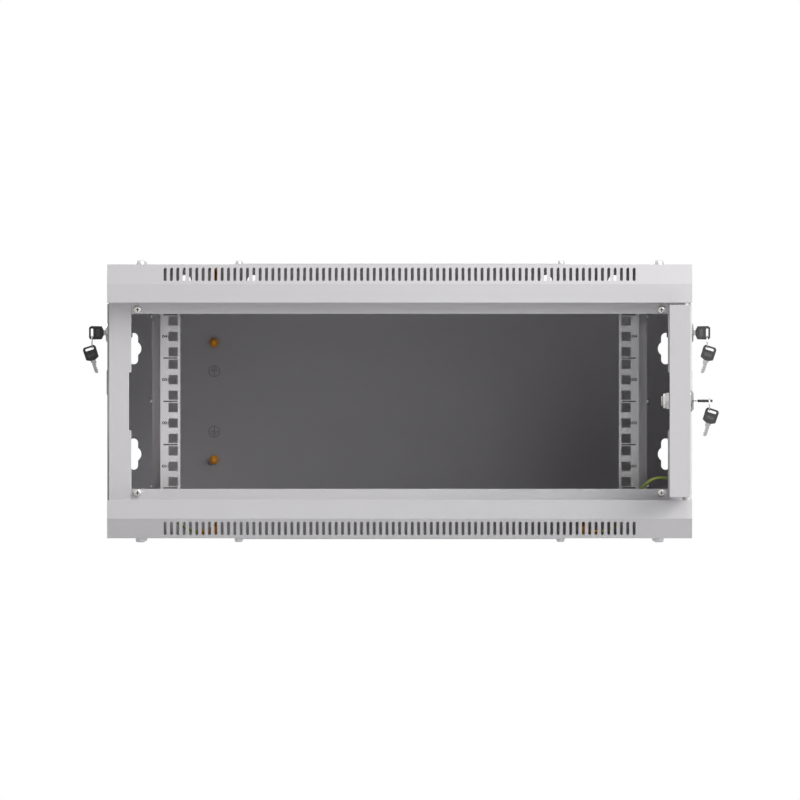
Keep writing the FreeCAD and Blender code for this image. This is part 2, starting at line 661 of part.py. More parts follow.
def keyhole(name, x, z):
    """Cutting tools of one keyhole: an upright slot with a round middle."""
    slot = block("key_slot_" + name, (x + " - keyhole_slot / 2", "keyhole_slot"),
                 ("-2 * steel", "3 * steel"),
                 (z + " - (keyhole_tall - keyhole_slot) / 2", "keyhole_tall - keyhole_slot"))
    tools = [slot, rod("key_head_" + name, "y", (x, "-2 * steel", z), "keyhole_head / 2", "3 * steel")]
    for end, way in (("t", " + "), ("b", " - ")):
        tools.append(rod("key_end_" + name + end, "y",
                         (x, "-2 * steel", z + way + "(keyhole_tall - keyhole_slot) / 2"),
                         "keyhole_slot / 2", "3 * steel"))
    return tools


def make_rails():
    """The 19 inch rails with their backing bars, side screws and clamp screws."""
    step_x = "rail_edge + rail_face"
    tail_x = "rail_edge + rail_face + rail_step"
    front = "-rail_front"
    step_y = "rail_web - rail_front"
    tail_y = "rail_web + rail_tail - rail_front"
    fold = profile("rail_fold", "XY_Plane", "0", "rail_height", [
        ("rail_edge", front),
        (step_x, front),
        (step_x, step_y),
        (tail_x, step_y),
        (tail_x, tail_y),
        (tail_x + " - rail_steel", tail_y),
        (tail_x + " - rail_steel", step_y + " + rail_steel"),
        (step_x + " - rail_steel", step_y + " + rail_steel"),
        (step_x + " - rail_steel", front + " + rail_steel"),
        ("rail_edge", front + " + rail_steel"),
    ], symmetric=True)
    tools = []
    for unit in (-2, -1, 0, 1):
        middle = "rack_unit * %g" % (unit + 0.5)
        for count, way in enumerate(("- rack_hole_step", "", "+ rack_hole_step")):
            tools.append(block("rack_hole%d%d" % (unit + 2, count),
                               ("hole_column - rack_hole / 2", "rack_hole"),
                               (front + " - rail_steel", "3 * rail_steel"),
                               (middle + way + " - rack_hole / 2", "rack_hole")))
        tools.append(rod("rack_notch%d" % (unit + 2), "y",
                         ("hole_column + rack_hole / 2", front + " - rail_steel", middle),
                         "rack_hole / 8", "3 * rail_steel"))
    clamp_y = "clamp_back - rail_front"
    for count, z in enumerate(("clamp_z", "-clamp_z")):
        tools.append(rod("rail_clamp_hole%d" % count, "x", (tail_x + " - 2 * rail_steel", clamp_y, z),
                         "deck_shank + hole_gap", "3 * rail_steel"))
    for count, z in enumerate(("side_screw_z", "0", "-side_screw_z")):
        tools.append(rod("rail_side_hole%d" % count, "x", (tail_x + " - 2 * rail_steel", clamp_y, z),
                         "band_shank + hole_gap", "3 * rail_steel"))
    both_sides(cut("rail_cut", fold, *tools), "rail")

    bar = block("backing", (tail_x + " - 2 * rail_steel - fit_gap", "rail_steel"),
                (step_y + " + 2 * rail_steel", "rail_tail - 2 * rail_steel"),
                ("-side_screw_z - backing_margin", "2 * side_screw_z + 2 * backing_margin"))
    holes = [rod("backing_hole%d" % count, "x", (tail_x + " - 3 * rail_steel", clamp_y, z),
                 "band_shank + pin_gap", "3 * rail_steel")
             for count, z in enumerate(("side_screw_z", "0", "-side_screw_z"))]
    both_sides(cut("backing_cut", bar, *holes), "rail_backing")

    screws = []
    for count, z in enumerate(("side_screw_z", "0", "-side_screw_z")):
        head = rod("side_screw_head%d" % count, "x", (tail_x, clamp_y, z), "1.6 * band_shank",
                   "band_head_high")
        shank = rod("side_screw_shank%d" % count, "-x", (tail_x, clamp_y, z), "band_shank",
                    "2.5 * rail_steel")
        screws.append(fuse("side_screw%d" % count, head, shank))
    both_sides(group("side_screws", *screws), "rail_screws")

    clamps = []
    for count, z in enumerate(("clamp_z", "-clamp_z")):
        head = rod("clamp_head%d" % count, "-x", (tail_x + " - rail_steel", clamp_y, z),
                   "deck_screw_head", "deck_head_high")
        shank = rod("clamp_shank%d" % count, "x", (tail_x + " - 1.5 * rail_steel", clamp_y, z),
                    "deck_shank", "clamp_long")
        nut = hexagon("clamp_nut_solid%d" % count, "x", ("bar_edge + bar_steel + fit_gap", clamp_y, z),
                      "deck_screw_head", "clamp_nut_high")
        bore = rod("clamp_nut_bore%d" % count, "x", ("bar_edge", clamp_y, z), "deck_shank + pin_gap",
                   "2 * clamp_long")
        clamps += [fuse("clamp_screw%d" % count, head, shank), cut("clamp_nut%d" % count, nut, bore)]
    both_sides(group("clamps", *clamps), "rail_clamps")


def make_side_panels():
    """Side panels: a tray with a pressed field, a lock hole and two hook tabs."""
    low = "stand_gap - opening_half"
    tall = "2 * opening_half - stand_gap - lift_gap"
    deep = "-(" + SIDE_FRONT + ") - rear_return - side_gap"
    tray = block("tray", (FLUSH + " - side_return", "side_return"), (SIDE_FRONT, deep), (low, tall))
    room = block("tray_room",
                 (FLUSH + " - side_return - overcut", "side_return + overcut - side_steel"),
                 (SIDE_FRONT + " + side_steel", deep + " - 2 * side_steel"),
                 (low + " + side_steel", tall + " - 2 * side_steel"))
    field = pressed_field("field", "0", "field_long")
    hollow = pressed_field("field_hollow", "side_steel", "field_long - 2 * side_steel")
    tabs = [block("tab%d" % count, (x + " - side_steel", "side_steel"),
                  (y + " - tab_width / 2", "tab_width"),
                  (low + " - tab_drop", "tab_drop + side_steel"))
            for count, (x, y) in enumerate(tab_places()[:2])]
    hole = rod("side_lock_hole", "x", (FLUSH + " - side_return", SIDE_MIDDLE, "side_lock_up"),
               "barrel_radius + hole_gap", "2 * side_return")
    shell = cut("tray_shell", fuse("tray_outside", tray, field), room, hollow, hole)
    both_sides(fuse("side_panel_solid", shell, *tabs), "side_panel")


def pressed_field(name, inset, length):
    """Bevelled ridge on the side panel, moved inwards by inset."""
    inner = FLUSH + " - " + inset
    return profile(name, "XZ_Plane", "-(" + SIDE_MIDDLE + ") - (" + length + ") / 2", length, [
        (inner + " - side_steel / 2", "field_low + " + inset),
        (inner, "field_low + " + inset),
        (inner + " + field_out", "field_low + field_out + " + inset + " / 2"),
        (inner + " + field_out", "field_high - field_out - " + inset + " / 2"),
        (inner, "field_high - " + inset),
        (inner + " - side_steel / 2", "field_high - " + inset),
    ])


def make_door():
    """Stiles, glass, tape, hinge blocks, pins and bush, in the open position."""
    seat = DOOR_OUT + " - glass_steel - tape"
    hinge = profile("hinge_fold", "XY_Plane", "door_bottom", DOOR_TALL, [
        (seat, DOOR_START + " - hinge_strip - rebate"),
        (seat, DOOR_START + " - hinge_strip"),
        (DOOR_OUT, DOOR_START + " - hinge_strip"),
        (DOOR_OUT, DOOR_START),
        (DOOR_IN, DOOR_START),
        (DOOR_IN, DOOR_START + " - hinge_lip"),
        (DOOR_IN + " + steel", DOOR_START + " - hinge_lip"),
        (DOOR_IN + " + steel", DOOR_START + " - steel"),
        (DOOR_OUT + " - steel", DOOR_START + " - steel"),
        (DOOR_OUT + " - steel", DOOR_START + " - hinge_strip + steel"),
        (seat + " - steel", DOOR_START + " - hinge_strip + steel"),
        (seat + " - steel", DOOR_START + " - hinge_strip - rebate"),
    ])
    hung(hinge, "hinge_stile")
    lock = profile("lock_fold", "XY_Plane", "door_bottom", DOOR_TALL, [
        (seat, DOOR_END + " + lock_strip + rebate"),
        (seat, DOOR_END + " + lock_strip"),
        (DOOR_OUT, DOOR_END + " + lock_strip"),
        (DOOR_OUT, DOOR_END),
        (DOOR_IN, DOOR_END),
        (DOOR_IN, DOOR_END + " + lock_flange"),
        (DOOR_IN + " + steel", DOOR_END + " + lock_flange"),
        (DOOR_IN + " + steel", DOOR_END + " + steel"),
        (DOOR_OUT + " - steel", DOOR_END + " + steel"),
        (DOOR_OUT + " - steel", DOOR_END + " + lock_strip - steel"),
        (seat + " - steel", DOOR_END + " + lock_strip - steel"),
        (seat + " - steel", DOOR_END + " + lock_strip + rebate"),
    ])
    notch = [block("door_notch_" + name, (DOOR_IN + " - steel", "3 * steel"),
                   (DOOR_END + " + lock_flange / 4", "lock_flange"), (z, "band_height + notch_margin"))
             for name, z in (("top", "door_top - band_height - notch_margin"), ("low", "door_bottom"))]
    hole = rod("door_lock_hole", "x", (DOOR_IN + " - steel", LOCK_Y, "door_lock_z"),
               "barrel_radius + hole_gap", "door_depth + 2 * steel")
    hung(cut("lock_stile_cut", lock, hole, *notch), "lock_stile")

    low = "door_bottom + glass_gap"
    tall = DOOR_TALL + " - 2 * glass_gap"
    pane_end = DOOR_END + " + lock_strip + glass_gap"
    pane = block("pane", (DOOR_OUT + " - glass_steel", "glass_steel"),
                 (pane_end, "door_width - hinge_strip - lock_strip - 2 * glass_gap"), (low, tall))
    hung(pane, "door_glass")
    strips = [block("tape_" + name, (seat, "tape"), (y, "rebate - 2 * glass_gap"), (low, tall))
              for name, y in (("lock", pane_end),
                              ("hinge", DOOR_START + " - hinge_strip - rebate + glass_gap"))]
    hung(group("tapes", *strips), "glass_tape")

    blocks = []
    for name, z in (("top", "door_top - block_tall"), ("low", "door_bottom")):
        solid = block("hinge_block_" + name, (AXIS_X + " - block_half", "block_wide"),
                      (AXIS_Y + " - block_back", "block_back + axis_edge - steel - fit_gap"),
                      (z, "block_tall"))
        bore = rod("hinge_bore_" + name, "z", (AXIS_X, AXIS_Y, z + " - overcut"), "pin_radius + pin_gap",
                   "block_tall + 2 * overcut")
        blocks.append(cut("hinge_block_cut_" + name, solid, bore))
    hung(group("hinge_block_pair", *blocks), "hinge_blocks")

    pin = rod("upper_pin_rod", "z", (AXIS_X, AXIS_Y, "door_top - pin_long"), "pin_radius",
              "opening_half + pin_proud - door_top + pin_long")
    finger = rod("upper_pin_finger", "-y", (AXIS_X, AXIS_Y, "door_top - finger_drop"), "0.6 * pin_radius",
                 "finger_long")
    hung(fuse("upper_pin", pin, finger), "hinge_pin_upper")
    hung(rod("lower_pin", "z", (AXIS_X, AXIS_Y, "-opening_half - pin_proud"), "pin_radius",
             "opening_half + pin_proud + door_bottom + block_tall - overcut"), "hinge_pin_lower")
    ring = rod("bush_ring", "z", (AXIS_X, AXIS_Y, "-opening_half + fit_gap"), "bush_radius",
               "opening_half + door_bottom - 2 * fit_gap")
    bore = rod("bush_bore", "z", (AXIS_X, AXIS_Y, "-opening_half - overcut"), "pin_radius + pin_gap",
               "2 * bush_radius")
    hung(cut("bush", ring, bore), "hinge_bush")


# Local axes of a lock: Z points out of the panel, X is the way its cam points at rest.
OUT_OF_PANEL = Rotation(Vector(1, 1, 1), 120)
KEY_TURNED = Rotation(Vector(0, 0, 1), -90)


def seat_at(thing, rotation, at):
    """Gives an object built about the origin its place in the cabinet."""
    thing.Placement = FreeCAD.Placement(Vector(), rotation)
    place(thing, *at)
    return thing


def key(name):
    """Flat key: head with a slot for the ring, shoulder and blade; Z points out of the lock."""
    head = profile(name + "_head", "YZ_Plane", "0", "bow_thick", [
        ("bow_shoulder_in - bow_wide / 2", "0"),
        ("bow_wide / 2 - bow_shoulder_in", "0"),
        ("bow_wide / 2", "bow_shoulder"),
        ("bow_wide / 2", "bow_long - bow_corner"),
        ("bow_wide / 2 - bow_corner", "bow_long"),
        ("bow_corner - bow_wide / 2", "bow_long"),
        ("-bow_wide / 2", "bow_long - bow_corner"),
        ("-bow_wide / 2", "bow_shoulder"),
    ], symmetric=True)
    slot = block(name + "_slot", ("-bow_thick", "2 * bow_thick"), ("-bow_slot_wide / 2", "bow_slot_wide"),
                 ("bow_slot_far - bow_slot_high / 2", "bow_slot_high"))
    blade = profile(name + "_blade", "YZ_Plane", "0", "blade_thick", [
        ("-shoulder_wide / 2", "0"),
        ("-shoulder_wide / 2", "-shoulder_long"),
        ("-blade_wide / 2", "-shoulder_long"),
        ("-blade_wide / 2", "-shoulder_long - blade_long + 2"),
        ("0", "-shoulder_long - blade_long"),
        ("blade_wide / 2", "-shoulder_long - blade_long + 2"),
        ("blade_wide / 2", "-shoulder_long"),
        ("shoulder_wide / 2", "-shoulder_long"),
        ("shoulder_wide / 2", "0"),
    ], symmetric=True)
    return group(name, cut(name + "_bow", head, slot), blade)


def make_lock(stem, barrel, panel, cam_reach, key_out, at, mark):
    """A cam lock with its key; at is the middle of its rosette, mark keeps the pieces."""
    upright = mark is sub_part
    shank = rod(stem + "_shank", "-z", ("0", "0", "0"), "barrel_radius", barrel)
    rosette = doc.addObject("Part::Cone", stem + "_rosette")
    bind(rosette, "Radius1", "rosette_radius")
    bind(rosette, "Radius2", "rosette_face")
    bind(rosette, "Height", "rosette_high")
    bore = rod(stem + "_bore", "-z", ("0", "0", "rosette_high + 1"), "plug_radius + pin_gap",
               barrel + " + rosette_high + 2")
    case = cut(stem + "_case_cut", fuse(stem + "_case_solid", shank, rosette), bore)
    nut = cut(stem + "_nut_cut",
              hexagon(stem + "_nut_solid", "-z", ("0", "0", "-" + panel), "nut_flats / 1.732", "nut_thick"),
              rod(stem + "_nut_bore", "-z", ("0", "0", "0"), "barrel_radius + pin_gap",
                  "2 * (" + barrel + ")"))
    cam_top = "-" + barrel + " - fit_gap"
    body = rod(stem + "_plug_body", "-z", ("0", "0", "rosette_high - 0.2"), "plug_radius",
               barrel + " + rosette_high - 0.2")
    tail = rod(stem + "_plug_tail", "-z", ("0", "0", "-" + barrel), "0.75 * plug_radius",
               "cam_thick + 2 * fit_gap")
    head = rod(stem + "_plug_screw", "-z", ("0", "0", cam_top + " - cam_thick - fit_gap"),
               "1.2 * plug_radius", "0.5 * plug_radius")
    keyway = block(stem + "_keyway", ("-blade_thick / 2 - 0.25", "blade_thick + 0.5"),
                   ("-blade_wide / 2 - 0.3", "blade_wide + 0.6"), ("-16", "20"))
    if not upright:
        keyway.Placement = FreeCAD.Placement(Vector(), KEY_TURNED)
        place(keyway, "-blade_wide / 2 - 0.3", "blade_thick / 2 + 0.25", "-16")
    plug = cut(stem + "_plug_cut", fuse(stem + "_plug_solid", body, tail, head), keyway)
    arm = profile(stem + "_cam_arm", "XY_Plane", cam_top + " - cam_thick", "cam_thick", [
        ("-cam_wide / 2", "-cam_wide / 4"),
        ("-cam_wide / 4", "-cam_wide / 2"),
        (cam_reach + " - cam_wide / 2", "-cam_wide / 2"),
        (cam_reach, "-cam_wide / 4"),
        (cam_reach, "cam_wide / 4"),
        (cam_reach + " - cam_wide / 2", "cam_wide / 2"),
        ("-cam_wide / 4", "cam_wide / 2"),
        ("-cam_wide / 2", "cam_wide / 4"),
    ])
    eye = rod(stem + "_cam_eye", "-z", ("0", "0", "0"), "0.75 * plug_radius + pin_gap",
              "2 * (" + barrel + ")")
    cam = cut(stem + "_cam_cut", arm, eye)
    made = []
    for thing, label in ((case, "_case"), (nut, "_nut"), (plug, "_plug"), (cam, "_cam")):
        made.append(mark(seat_at(thing, OUT_OF_PANEL, at), stem + label))
    turned = OUT_OF_PANEL if upright else OUT_OF_PANEL.multiply(KEY_TURNED)
    x, y, z = at
    made.append(mark(seat_at(key(stem + "_key"), turned, (x + " + " + key_out, y, z)), stem + "_key"))
    rim_y = y if upright else y + " - rim_middle"
    rim_z = z + " - rim_middle" if upright else z
    slot_x = x + " + " + key_out + " + bow_slot_far"
    made += hanging_set(stem, (slot_x, rim_y, rim_z), mark)
    return made


SPARE_LEAN = 18


def hanging_set(stem, at, mark):
    """Ring through the key's head and the spare key that leans on it; at is the rim's middle."""
    x, y, z = at
    ring = doc.addObject("Part::Torus", stem + "_ring_wire")
    bind(ring, "Radius1", "ring_radius")
    bind(ring, "Radius2", "ring_wire")
    seat_at(ring, TURNS["x"], (x, y, z + " - ring_drop"))
    made = [mark(ring, stem + "_ring")]
    wire_z = z + " - ring_drop - ring_radius"
    lean = math.radians(SPARE_LEAN)
    along, across = -0.5, -2.9
    slot_x = "%.4f" % (along * math.sin(lean) - across * math.cos(lean))
    slot_z = "%.4f" % (along * math.cos(lean) + across * math.sin(lean))
    head_x = "%.4f * bow_slot_far" % -math.sin(lean)
    head_z = "%.4f * bow_slot_far" % -math.cos(lean)
    spare = seat_at(key(stem + "_spare"), Rotation(Vector(0, 1, 0), SPARE_LEAN).multiply(
        Rotation(Vector(0, 0, 1), 90)), (x + " + " + slot_x + " + " + head_x, y,
                                         wire_z + " + " + slot_z + " + " + head_z))
    made.append(mark(spare, stem + "_spare_key"))
    return made


def make_locks():
    """The door's lock and the two side locks."""
    make_lock("door_lock", "door_barrel", "door_depth", "cam_long", "door_key_out",
              (DOOR_OUT, LOCK_Y, "door_lock_z"), hung)
    right = make_lock("side_lock", "side_barrel", "side_steel", "side_cam_long", "side_key_out",
                      (FLUSH, SIDE_MIDDLE, "side_lock_up"), sub_part)
    for piece in right:
        label = piece.Label
        piece.Label = label.replace("side_lock", "side_lock_right")
        twin = mirrored(label + "_twin", piece, (1, 0, 0))
        sub_part(twin, label.replace("side_lock", "side_lock_left"))


def screw(name, axis, back, at, head, head_high, shank):
    """A plain screw: head one way from the seat, shank the other."""
    return fuse(name, rod(name + "_head", axis, at, head, head_high),
                rod(name + "_shank", back, at, shank, "screw_long"))


def make_screws():
    """Screws of the decks, the cable covers and the bands."""
    rows = (
        ("deck_screws", deck_screw_places(), DECK, "deck_screw_head", "deck_head_high", "deck_shank"),
        ("cover_screws", cover_screw_places(), DECK + " + cover_steel", "cover_screw_head",
         "small_head_high", "cover_shank"),
    )
    for label, places, seat, head, high, shank in rows:
        upper = group(label + "_upper", *[
            screw("%s%d" % (label, count), "z", "-z", (x, y, seat), head, high, shank)
            for count, (x, y) in enumerate(places)])
        sub_part(group(label + "_all", upper, mirrored(label + "_lower", upper, (0, 0, 1))), label)
    upper = group("band_screws_upper", *[
        screw("band_screw%d" % count, "-y", "y", (x, BAND_Y, "band_screw_z"), "band_screw_head",
              "band_head_high", "band_shank")
        for count, x in enumerate(("band_screw_x", "-band_screw_x"))])
    sub_part(group("band_screws_all", upper, mirrored("band_screws_lower", upper, (0, 0, 1))), "band_screws")


# Lugs on their studs: height on the deck, depth behind the posts, barrel's outer radius.
LUG_UP = "-(" + UNDER_DECK + ") + nut_high + fit_gap"
LUG_BACK = BAND_Y + " + steel + lug_stand + nut_high + fit_gap"
BARREL = "lead_radius + pin_gap + lug_wall"


def make_earthing():
    """Earth studs, nuts and lugs on the rear panel, the decks and the posts."""
    studs, nuts = [], []
    for count, z in enumerate(("stud_z", "-stud_z")):
        studs.append(rod("rear_stud%d" % count, "-y", ("-rear_stud_x", "-steel", z), "stud_radius",
                         "stud_long"))
        nuts.append(stud_nut("rear_nut%d" % count, "-y", ("-rear_stud_x", "-steel - fit_gap", z)))
    studs.append(rod("top_stud", "-z", ("-stud_x", "deck_stud_y", UNDER_DECK), "stud_radius", "stud_long"))
    nuts.append(stud_nut("top_nut", "-z", ("-stud_x", "deck_stud_y", UNDER_DECK + " - fit_gap")))
    lugs = []
    for side, sign, way in (("right", "", "x"), ("left", "-", "-x")):
        x = sign + "stud_x"
        studs.append(rod("deck_stud_" + side, "z", (x, "deck_stud_y", "-(" + UNDER_DECK + ")"),
                         "stud_radius", "stud_long"))
        nuts.append(stud_nut("under_nut_" + side, "z", (x, "deck_stud_y", "-(" + UNDER_DECK + ")")))
        nuts.append(stud_nut("over_nut_" + side, "z",
                             (x, "deck_stud_y", LUG_UP + " + lug_thick + fit_gap")))
        lugs.append(deck_lug("deck_lug_" + side, way, (x, "deck_stud_y", LUG_UP)))
        x, z = sign + "post_stud_x", "-post_stud_down"
        studs.append(rod("post_stud_" + side, "y", (x, BAND_Y + " + steel", z), "stud_radius",
                         "post_stud_long"))
        nuts.append(stud_nut("post_nut_" + side, "y", (x, BAND_Y + " + steel + lug_stand", z)))
        nuts.append(stud_nut("back_nut_" + side, "y", (x, LUG_BACK + " + lug_thick + fit_gap", z)))
        lugs.append(post_lug("post_lug_" + side, (x, LUG_BACK, z)))
    sub_part(group("studs", *studs), "earth_studs")
    sub_part(group("nuts", *nuts), "earth_nuts")
    sub_part(group("lugs", *lugs), "lead_lugs")


def stud_nut(name, axis, at):
    """Hexagon nut on an earth stud."""
    solid = hexagon(name + "_solid", axis, at, "nut_circle", "nut_high")
    return cut(name, solid, rod(name + "_bore", axis, at, "stud_radius + pin_gap", "nut_high"))


def deck_lug(name, way, at):
    """Lug that lies on a deck's stud with its barrel pointing sideways."""
    x, y, z = at
    toward = " + " if way == "x" else " - "
    start = x if way == "x" else x + " - lug_neck"
    tongue = block(name + "_tongue", (start, "lug_neck"),
                   (y + " - (" + BARREL + ")", "2 * (" + BARREL + ")"),
                   (z, "lug_thick"))
    middle = z + " + lug_thick / 2"
    barrel = rod(name + "_barrel", way, (x + toward + "lug_neck", y, middle), BARREL, "lug_barrel")
    bore = rod(name + "_bore", way, (x + toward + "(lug_neck + lug_thick)", y, middle),
               "lead_radius + pin_gap", "lug_barrel")
    return lug(name, "z", at, tongue, barrel, bore)


def post_lug(name, at):
    """Lug that stands on a post's stud with its barrel pointing down."""
    x, y, z = at
    tongue = block(name + "_tongue", (x + " - (" + BARREL + ")", "2 * (" + BARREL + ")"), (y, "lug_thick"),
                   (z + " - lug_neck", "lug_neck"))
    middle = y + " + lug_thick / 2"
    barrel = rod(name + "_barrel", "-z", (x, middle, z + " - lug_neck"), BARREL, "lug_barrel")
    bore = rod(name + "_bore", "-z", (x, middle, z + " - lug_neck - lug_thick"),
               "lead_radius + pin_gap", "lug_barrel")
    return lug(name, "y", at, tongue, barrel, bore)


def lug(name, axis, at, tongue, barrel, bore):
    """Ring lug: a flat eye, a tongue and a barrel that holds the end of its lead."""
    eye = rod(name + "_eye", axis, at, "lug_radius", "lug_thick")
    below = tuple(text + (" - lug_thick" if letter == axis else "") for letter, text in zip("xyz", at))
    hole = rod(name + "_hole", axis, below, "stud_radius + pin_gap", "3 * lug_thick")
    return cut(name, fuse(name + "_solid", eye, tongue, barrel), hole, bore)


def tube(name, points, radius):
    """A lead along straight runs joined by tangent arcs; prints its bends and its length."""
    edges, radii = [], []
    start = points[0]
    for before, corner, after in zip(points, points[1:], points[2:]):
        into = (corner - before).normalize()
        away = (after - corner).normalize()
        half = into.getAngle(away) / 2
        reach = 0.45 * min((corner - before).Length, (after - corner).Length)
        radii.append(reach / math.tan(half))
        first, last = corner - into * reach, corner + away * reach
        centre = corner + (away - into).normalize() * (radii[-1] / math.cos(half))
        middle = centre + (corner - centre).normalize() * radii[-1]
        edges.append(Part.LineSegment(start, first).toShape())
        edges.append(Part.Arc(first, middle, last).toShape())
        start = last
    edges.append(Part.LineSegment(start, points[-1]).toShape())
    wire = Part.Wire(edges)
    circle = Part.Wire([Part.Circle(points[0], points[1] - points[0], radius).toShape()])
    solid = wire.makePipeShell([circle], True, False)
    expected = math.pi * radius ** 2 * wire.Length
    print("%s: %.1f mm long, bends %s mm, volume %.4f of section times length" % (
        name, wire.Length, " ".join("%.1f" % r for r in radii), solid.Volume / expected))
    feature = doc.addObject("Part::Feature", name + "_tube")
    feature.Shape = solid
    return sub_part(feature, name)


def make_leads():
    """Earth leads from the lugs on the lower deck to the lugs on the posts."""
    end = value("lug_neck") + value("lug_thick") + value("fit_gap")
    deck_y = value("deck_stud_setback") - value("body_depth")
    deck_x = value("stud_x") + end
    low = value("steel") - value("body_height") / 2 + value("nut_high") + value("fit_gap")
    low += value("lug_thick") / 2
    post_x = value("body_width") / 2 - value("post_stud_in")
    post_y = value("recess") - value("body_depth") + value("steel") + value("lug_stand")
    post_y += value("nut_high") + value("fit_gap") + value("lug_thick") / 2
    post_z = -value("post_stud_down") - end
    radius = value("lead_radius")
    tube("earth_lead_right", [
        Vector(deck_x, deck_y, low),
        Vector(deck_x + 15, deck_y, low),
        Vector(deck_x + 25, deck_y - 2.5, low + 7.2),
        Vector(deck_x + 41.5, deck_y - 5, low + 31.2),
        Vector(deck_x + 54.5, deck_y - 9, low + 49.2),
        Vector(post_x - 20.2, post_y, post_z - 15.6),
        Vector(post_x, post_y, post_z - 15.6),
        Vector(post_x, post_y, post_z),
    ], radius)
    tube("earth_lead_left", [
        Vector(-deck_x, deck_y, low),
        Vector(-deck_x - 15, deck_y, low),
        Vector(-deck_x - 27, deck_y - 1.5, low + 7.2),
        Vector(-deck_x - 43, deck_y - 4, low + 22.2),
        Vector(-deck_x - 57, deck_y - 8, low + 35.2),
        Vector(-post_x + 18.2, post_y, post_z - 29),
        Vector(-post_x, post_y, post_z - 29),
        Vector(-post_x, post_y, post_z),
    ], radius)


def write_parts():
    """Checks every object, then writes one file per piece."""
    doc.recompute()
    for thing in doc.Objects:
        if "Invalid" in thing.State or "Error" in thing.State:
            raise RuntimeError("%s is in state %s" % (thing.Name, thing.State))
    for thing in parts:
        if thing.Shape.isNull() or not thing.Shape.isValid():
            raise RuntimeError("%s has no valid shape" % thing.Label)
    os.makedirs("parts", exist_ok=True)
    for thing in parts:
        thing.Shape.exportStep("parts/%s.step" % thing.Label)
    print("%d pieces written" % len(parts))


make_panels()
make_frame()
make_rails()
make_side_panels()
make_door()
make_locks()
make_screws()
make_earthing()
make_leads()
write_parts()
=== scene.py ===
import json
import logging
import math
from collections.abc import Iterable, Mapping, Sequence
from dataclasses import dataclass
from enum import Enum

import bmesh
import bpy
from mathutils import Matrix, Vector


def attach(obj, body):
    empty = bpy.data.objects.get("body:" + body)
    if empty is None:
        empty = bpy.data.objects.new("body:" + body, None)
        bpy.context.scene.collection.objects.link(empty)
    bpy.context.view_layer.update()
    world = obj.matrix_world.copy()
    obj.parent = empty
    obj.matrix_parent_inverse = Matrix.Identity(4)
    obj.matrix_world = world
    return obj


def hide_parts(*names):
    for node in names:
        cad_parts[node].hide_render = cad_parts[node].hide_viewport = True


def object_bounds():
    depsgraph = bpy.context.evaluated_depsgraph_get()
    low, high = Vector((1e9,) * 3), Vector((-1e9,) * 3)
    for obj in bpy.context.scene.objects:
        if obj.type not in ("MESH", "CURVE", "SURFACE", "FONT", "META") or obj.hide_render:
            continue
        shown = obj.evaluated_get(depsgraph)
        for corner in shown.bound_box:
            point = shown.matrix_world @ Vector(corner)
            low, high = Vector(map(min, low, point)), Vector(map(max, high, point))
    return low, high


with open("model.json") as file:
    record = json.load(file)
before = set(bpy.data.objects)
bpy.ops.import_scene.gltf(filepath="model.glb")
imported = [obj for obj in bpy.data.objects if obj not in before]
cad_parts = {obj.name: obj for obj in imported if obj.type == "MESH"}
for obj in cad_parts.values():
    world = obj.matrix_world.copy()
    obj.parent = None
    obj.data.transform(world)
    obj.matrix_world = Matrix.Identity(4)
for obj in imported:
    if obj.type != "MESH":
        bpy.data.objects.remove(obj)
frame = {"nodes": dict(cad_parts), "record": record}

CAD_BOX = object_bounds()
LOG = logging.getLogger("cabinet")
MM = 0.001
FULL_TURN = 2 * math.pi
Colour = tuple[float, float, float]
Outline = Sequence[tuple[float, float]]
Route = Sequence[tuple[float, float, float]]


# Shader maths as Python expressions

class Wire:
    """A shader socket that takes part in Python arithmetic."""

    def __init__(self, graph: "Graph", socket: bpy.types.NodeSocket) -> None:
        """Keeps the socket and the graph that new nodes go into."""
        self.graph = graph
        self.socket = socket

    def _math(self, operation: str, first: object, second: object) -> "Wire":
        """Adds a Math node.

        Args:
            operation: The node's operation.
            first: Its first value or wire.
            second: Its second value or wire.

        Returns:
            The node's result.
        """
        made = self.graph.node("ShaderNodeMath", {"operation": operation}, {0: first, 1: second})
        return self.graph.wire(made)

    def __add__(self, other: object) -> "Wire":
        """Returns the sum."""
        return self._math("ADD", self, other)

    def __radd__(self, other: object) -> "Wire":
        """Returns the sum."""
        return self._math("ADD", other, self)

    def __sub__(self, other: object) -> "Wire":
        """Returns the difference."""
        return self._math("SUBTRACT", self, other)

    def __rsub__(self, other: object) -> "Wire":
        """Returns the difference."""
        return self._math("SUBTRACT", other, self)

    def __mul__(self, other: object) -> "Wire":
        """Returns the product."""
        return self._math("MULTIPLY", self, other)

    def __rmul__(self, other: object) -> "Wire":
        """Returns the product."""
        return self._math("MULTIPLY", other, self)

    def __gt__(self, other: object) -> "Wire":
        """Returns 1 where this is the larger, else 0."""
        return self._math("GREATER_THAN", self, other)

    def __lt__(self, other: object) -> "Wire":
        """Returns 1 where this is the smaller, else 0."""
        return self._math("LESS_THAN", self, other)

    def __mod__(self, other: object) -> "Wire":
        """Returns the remainder."""
        return self._math("MODULO", self, other)

    def __rmod__(self, other: object) -> "Wire":
        """Returns the remainder."""
        return self._math("MODULO", other, self)


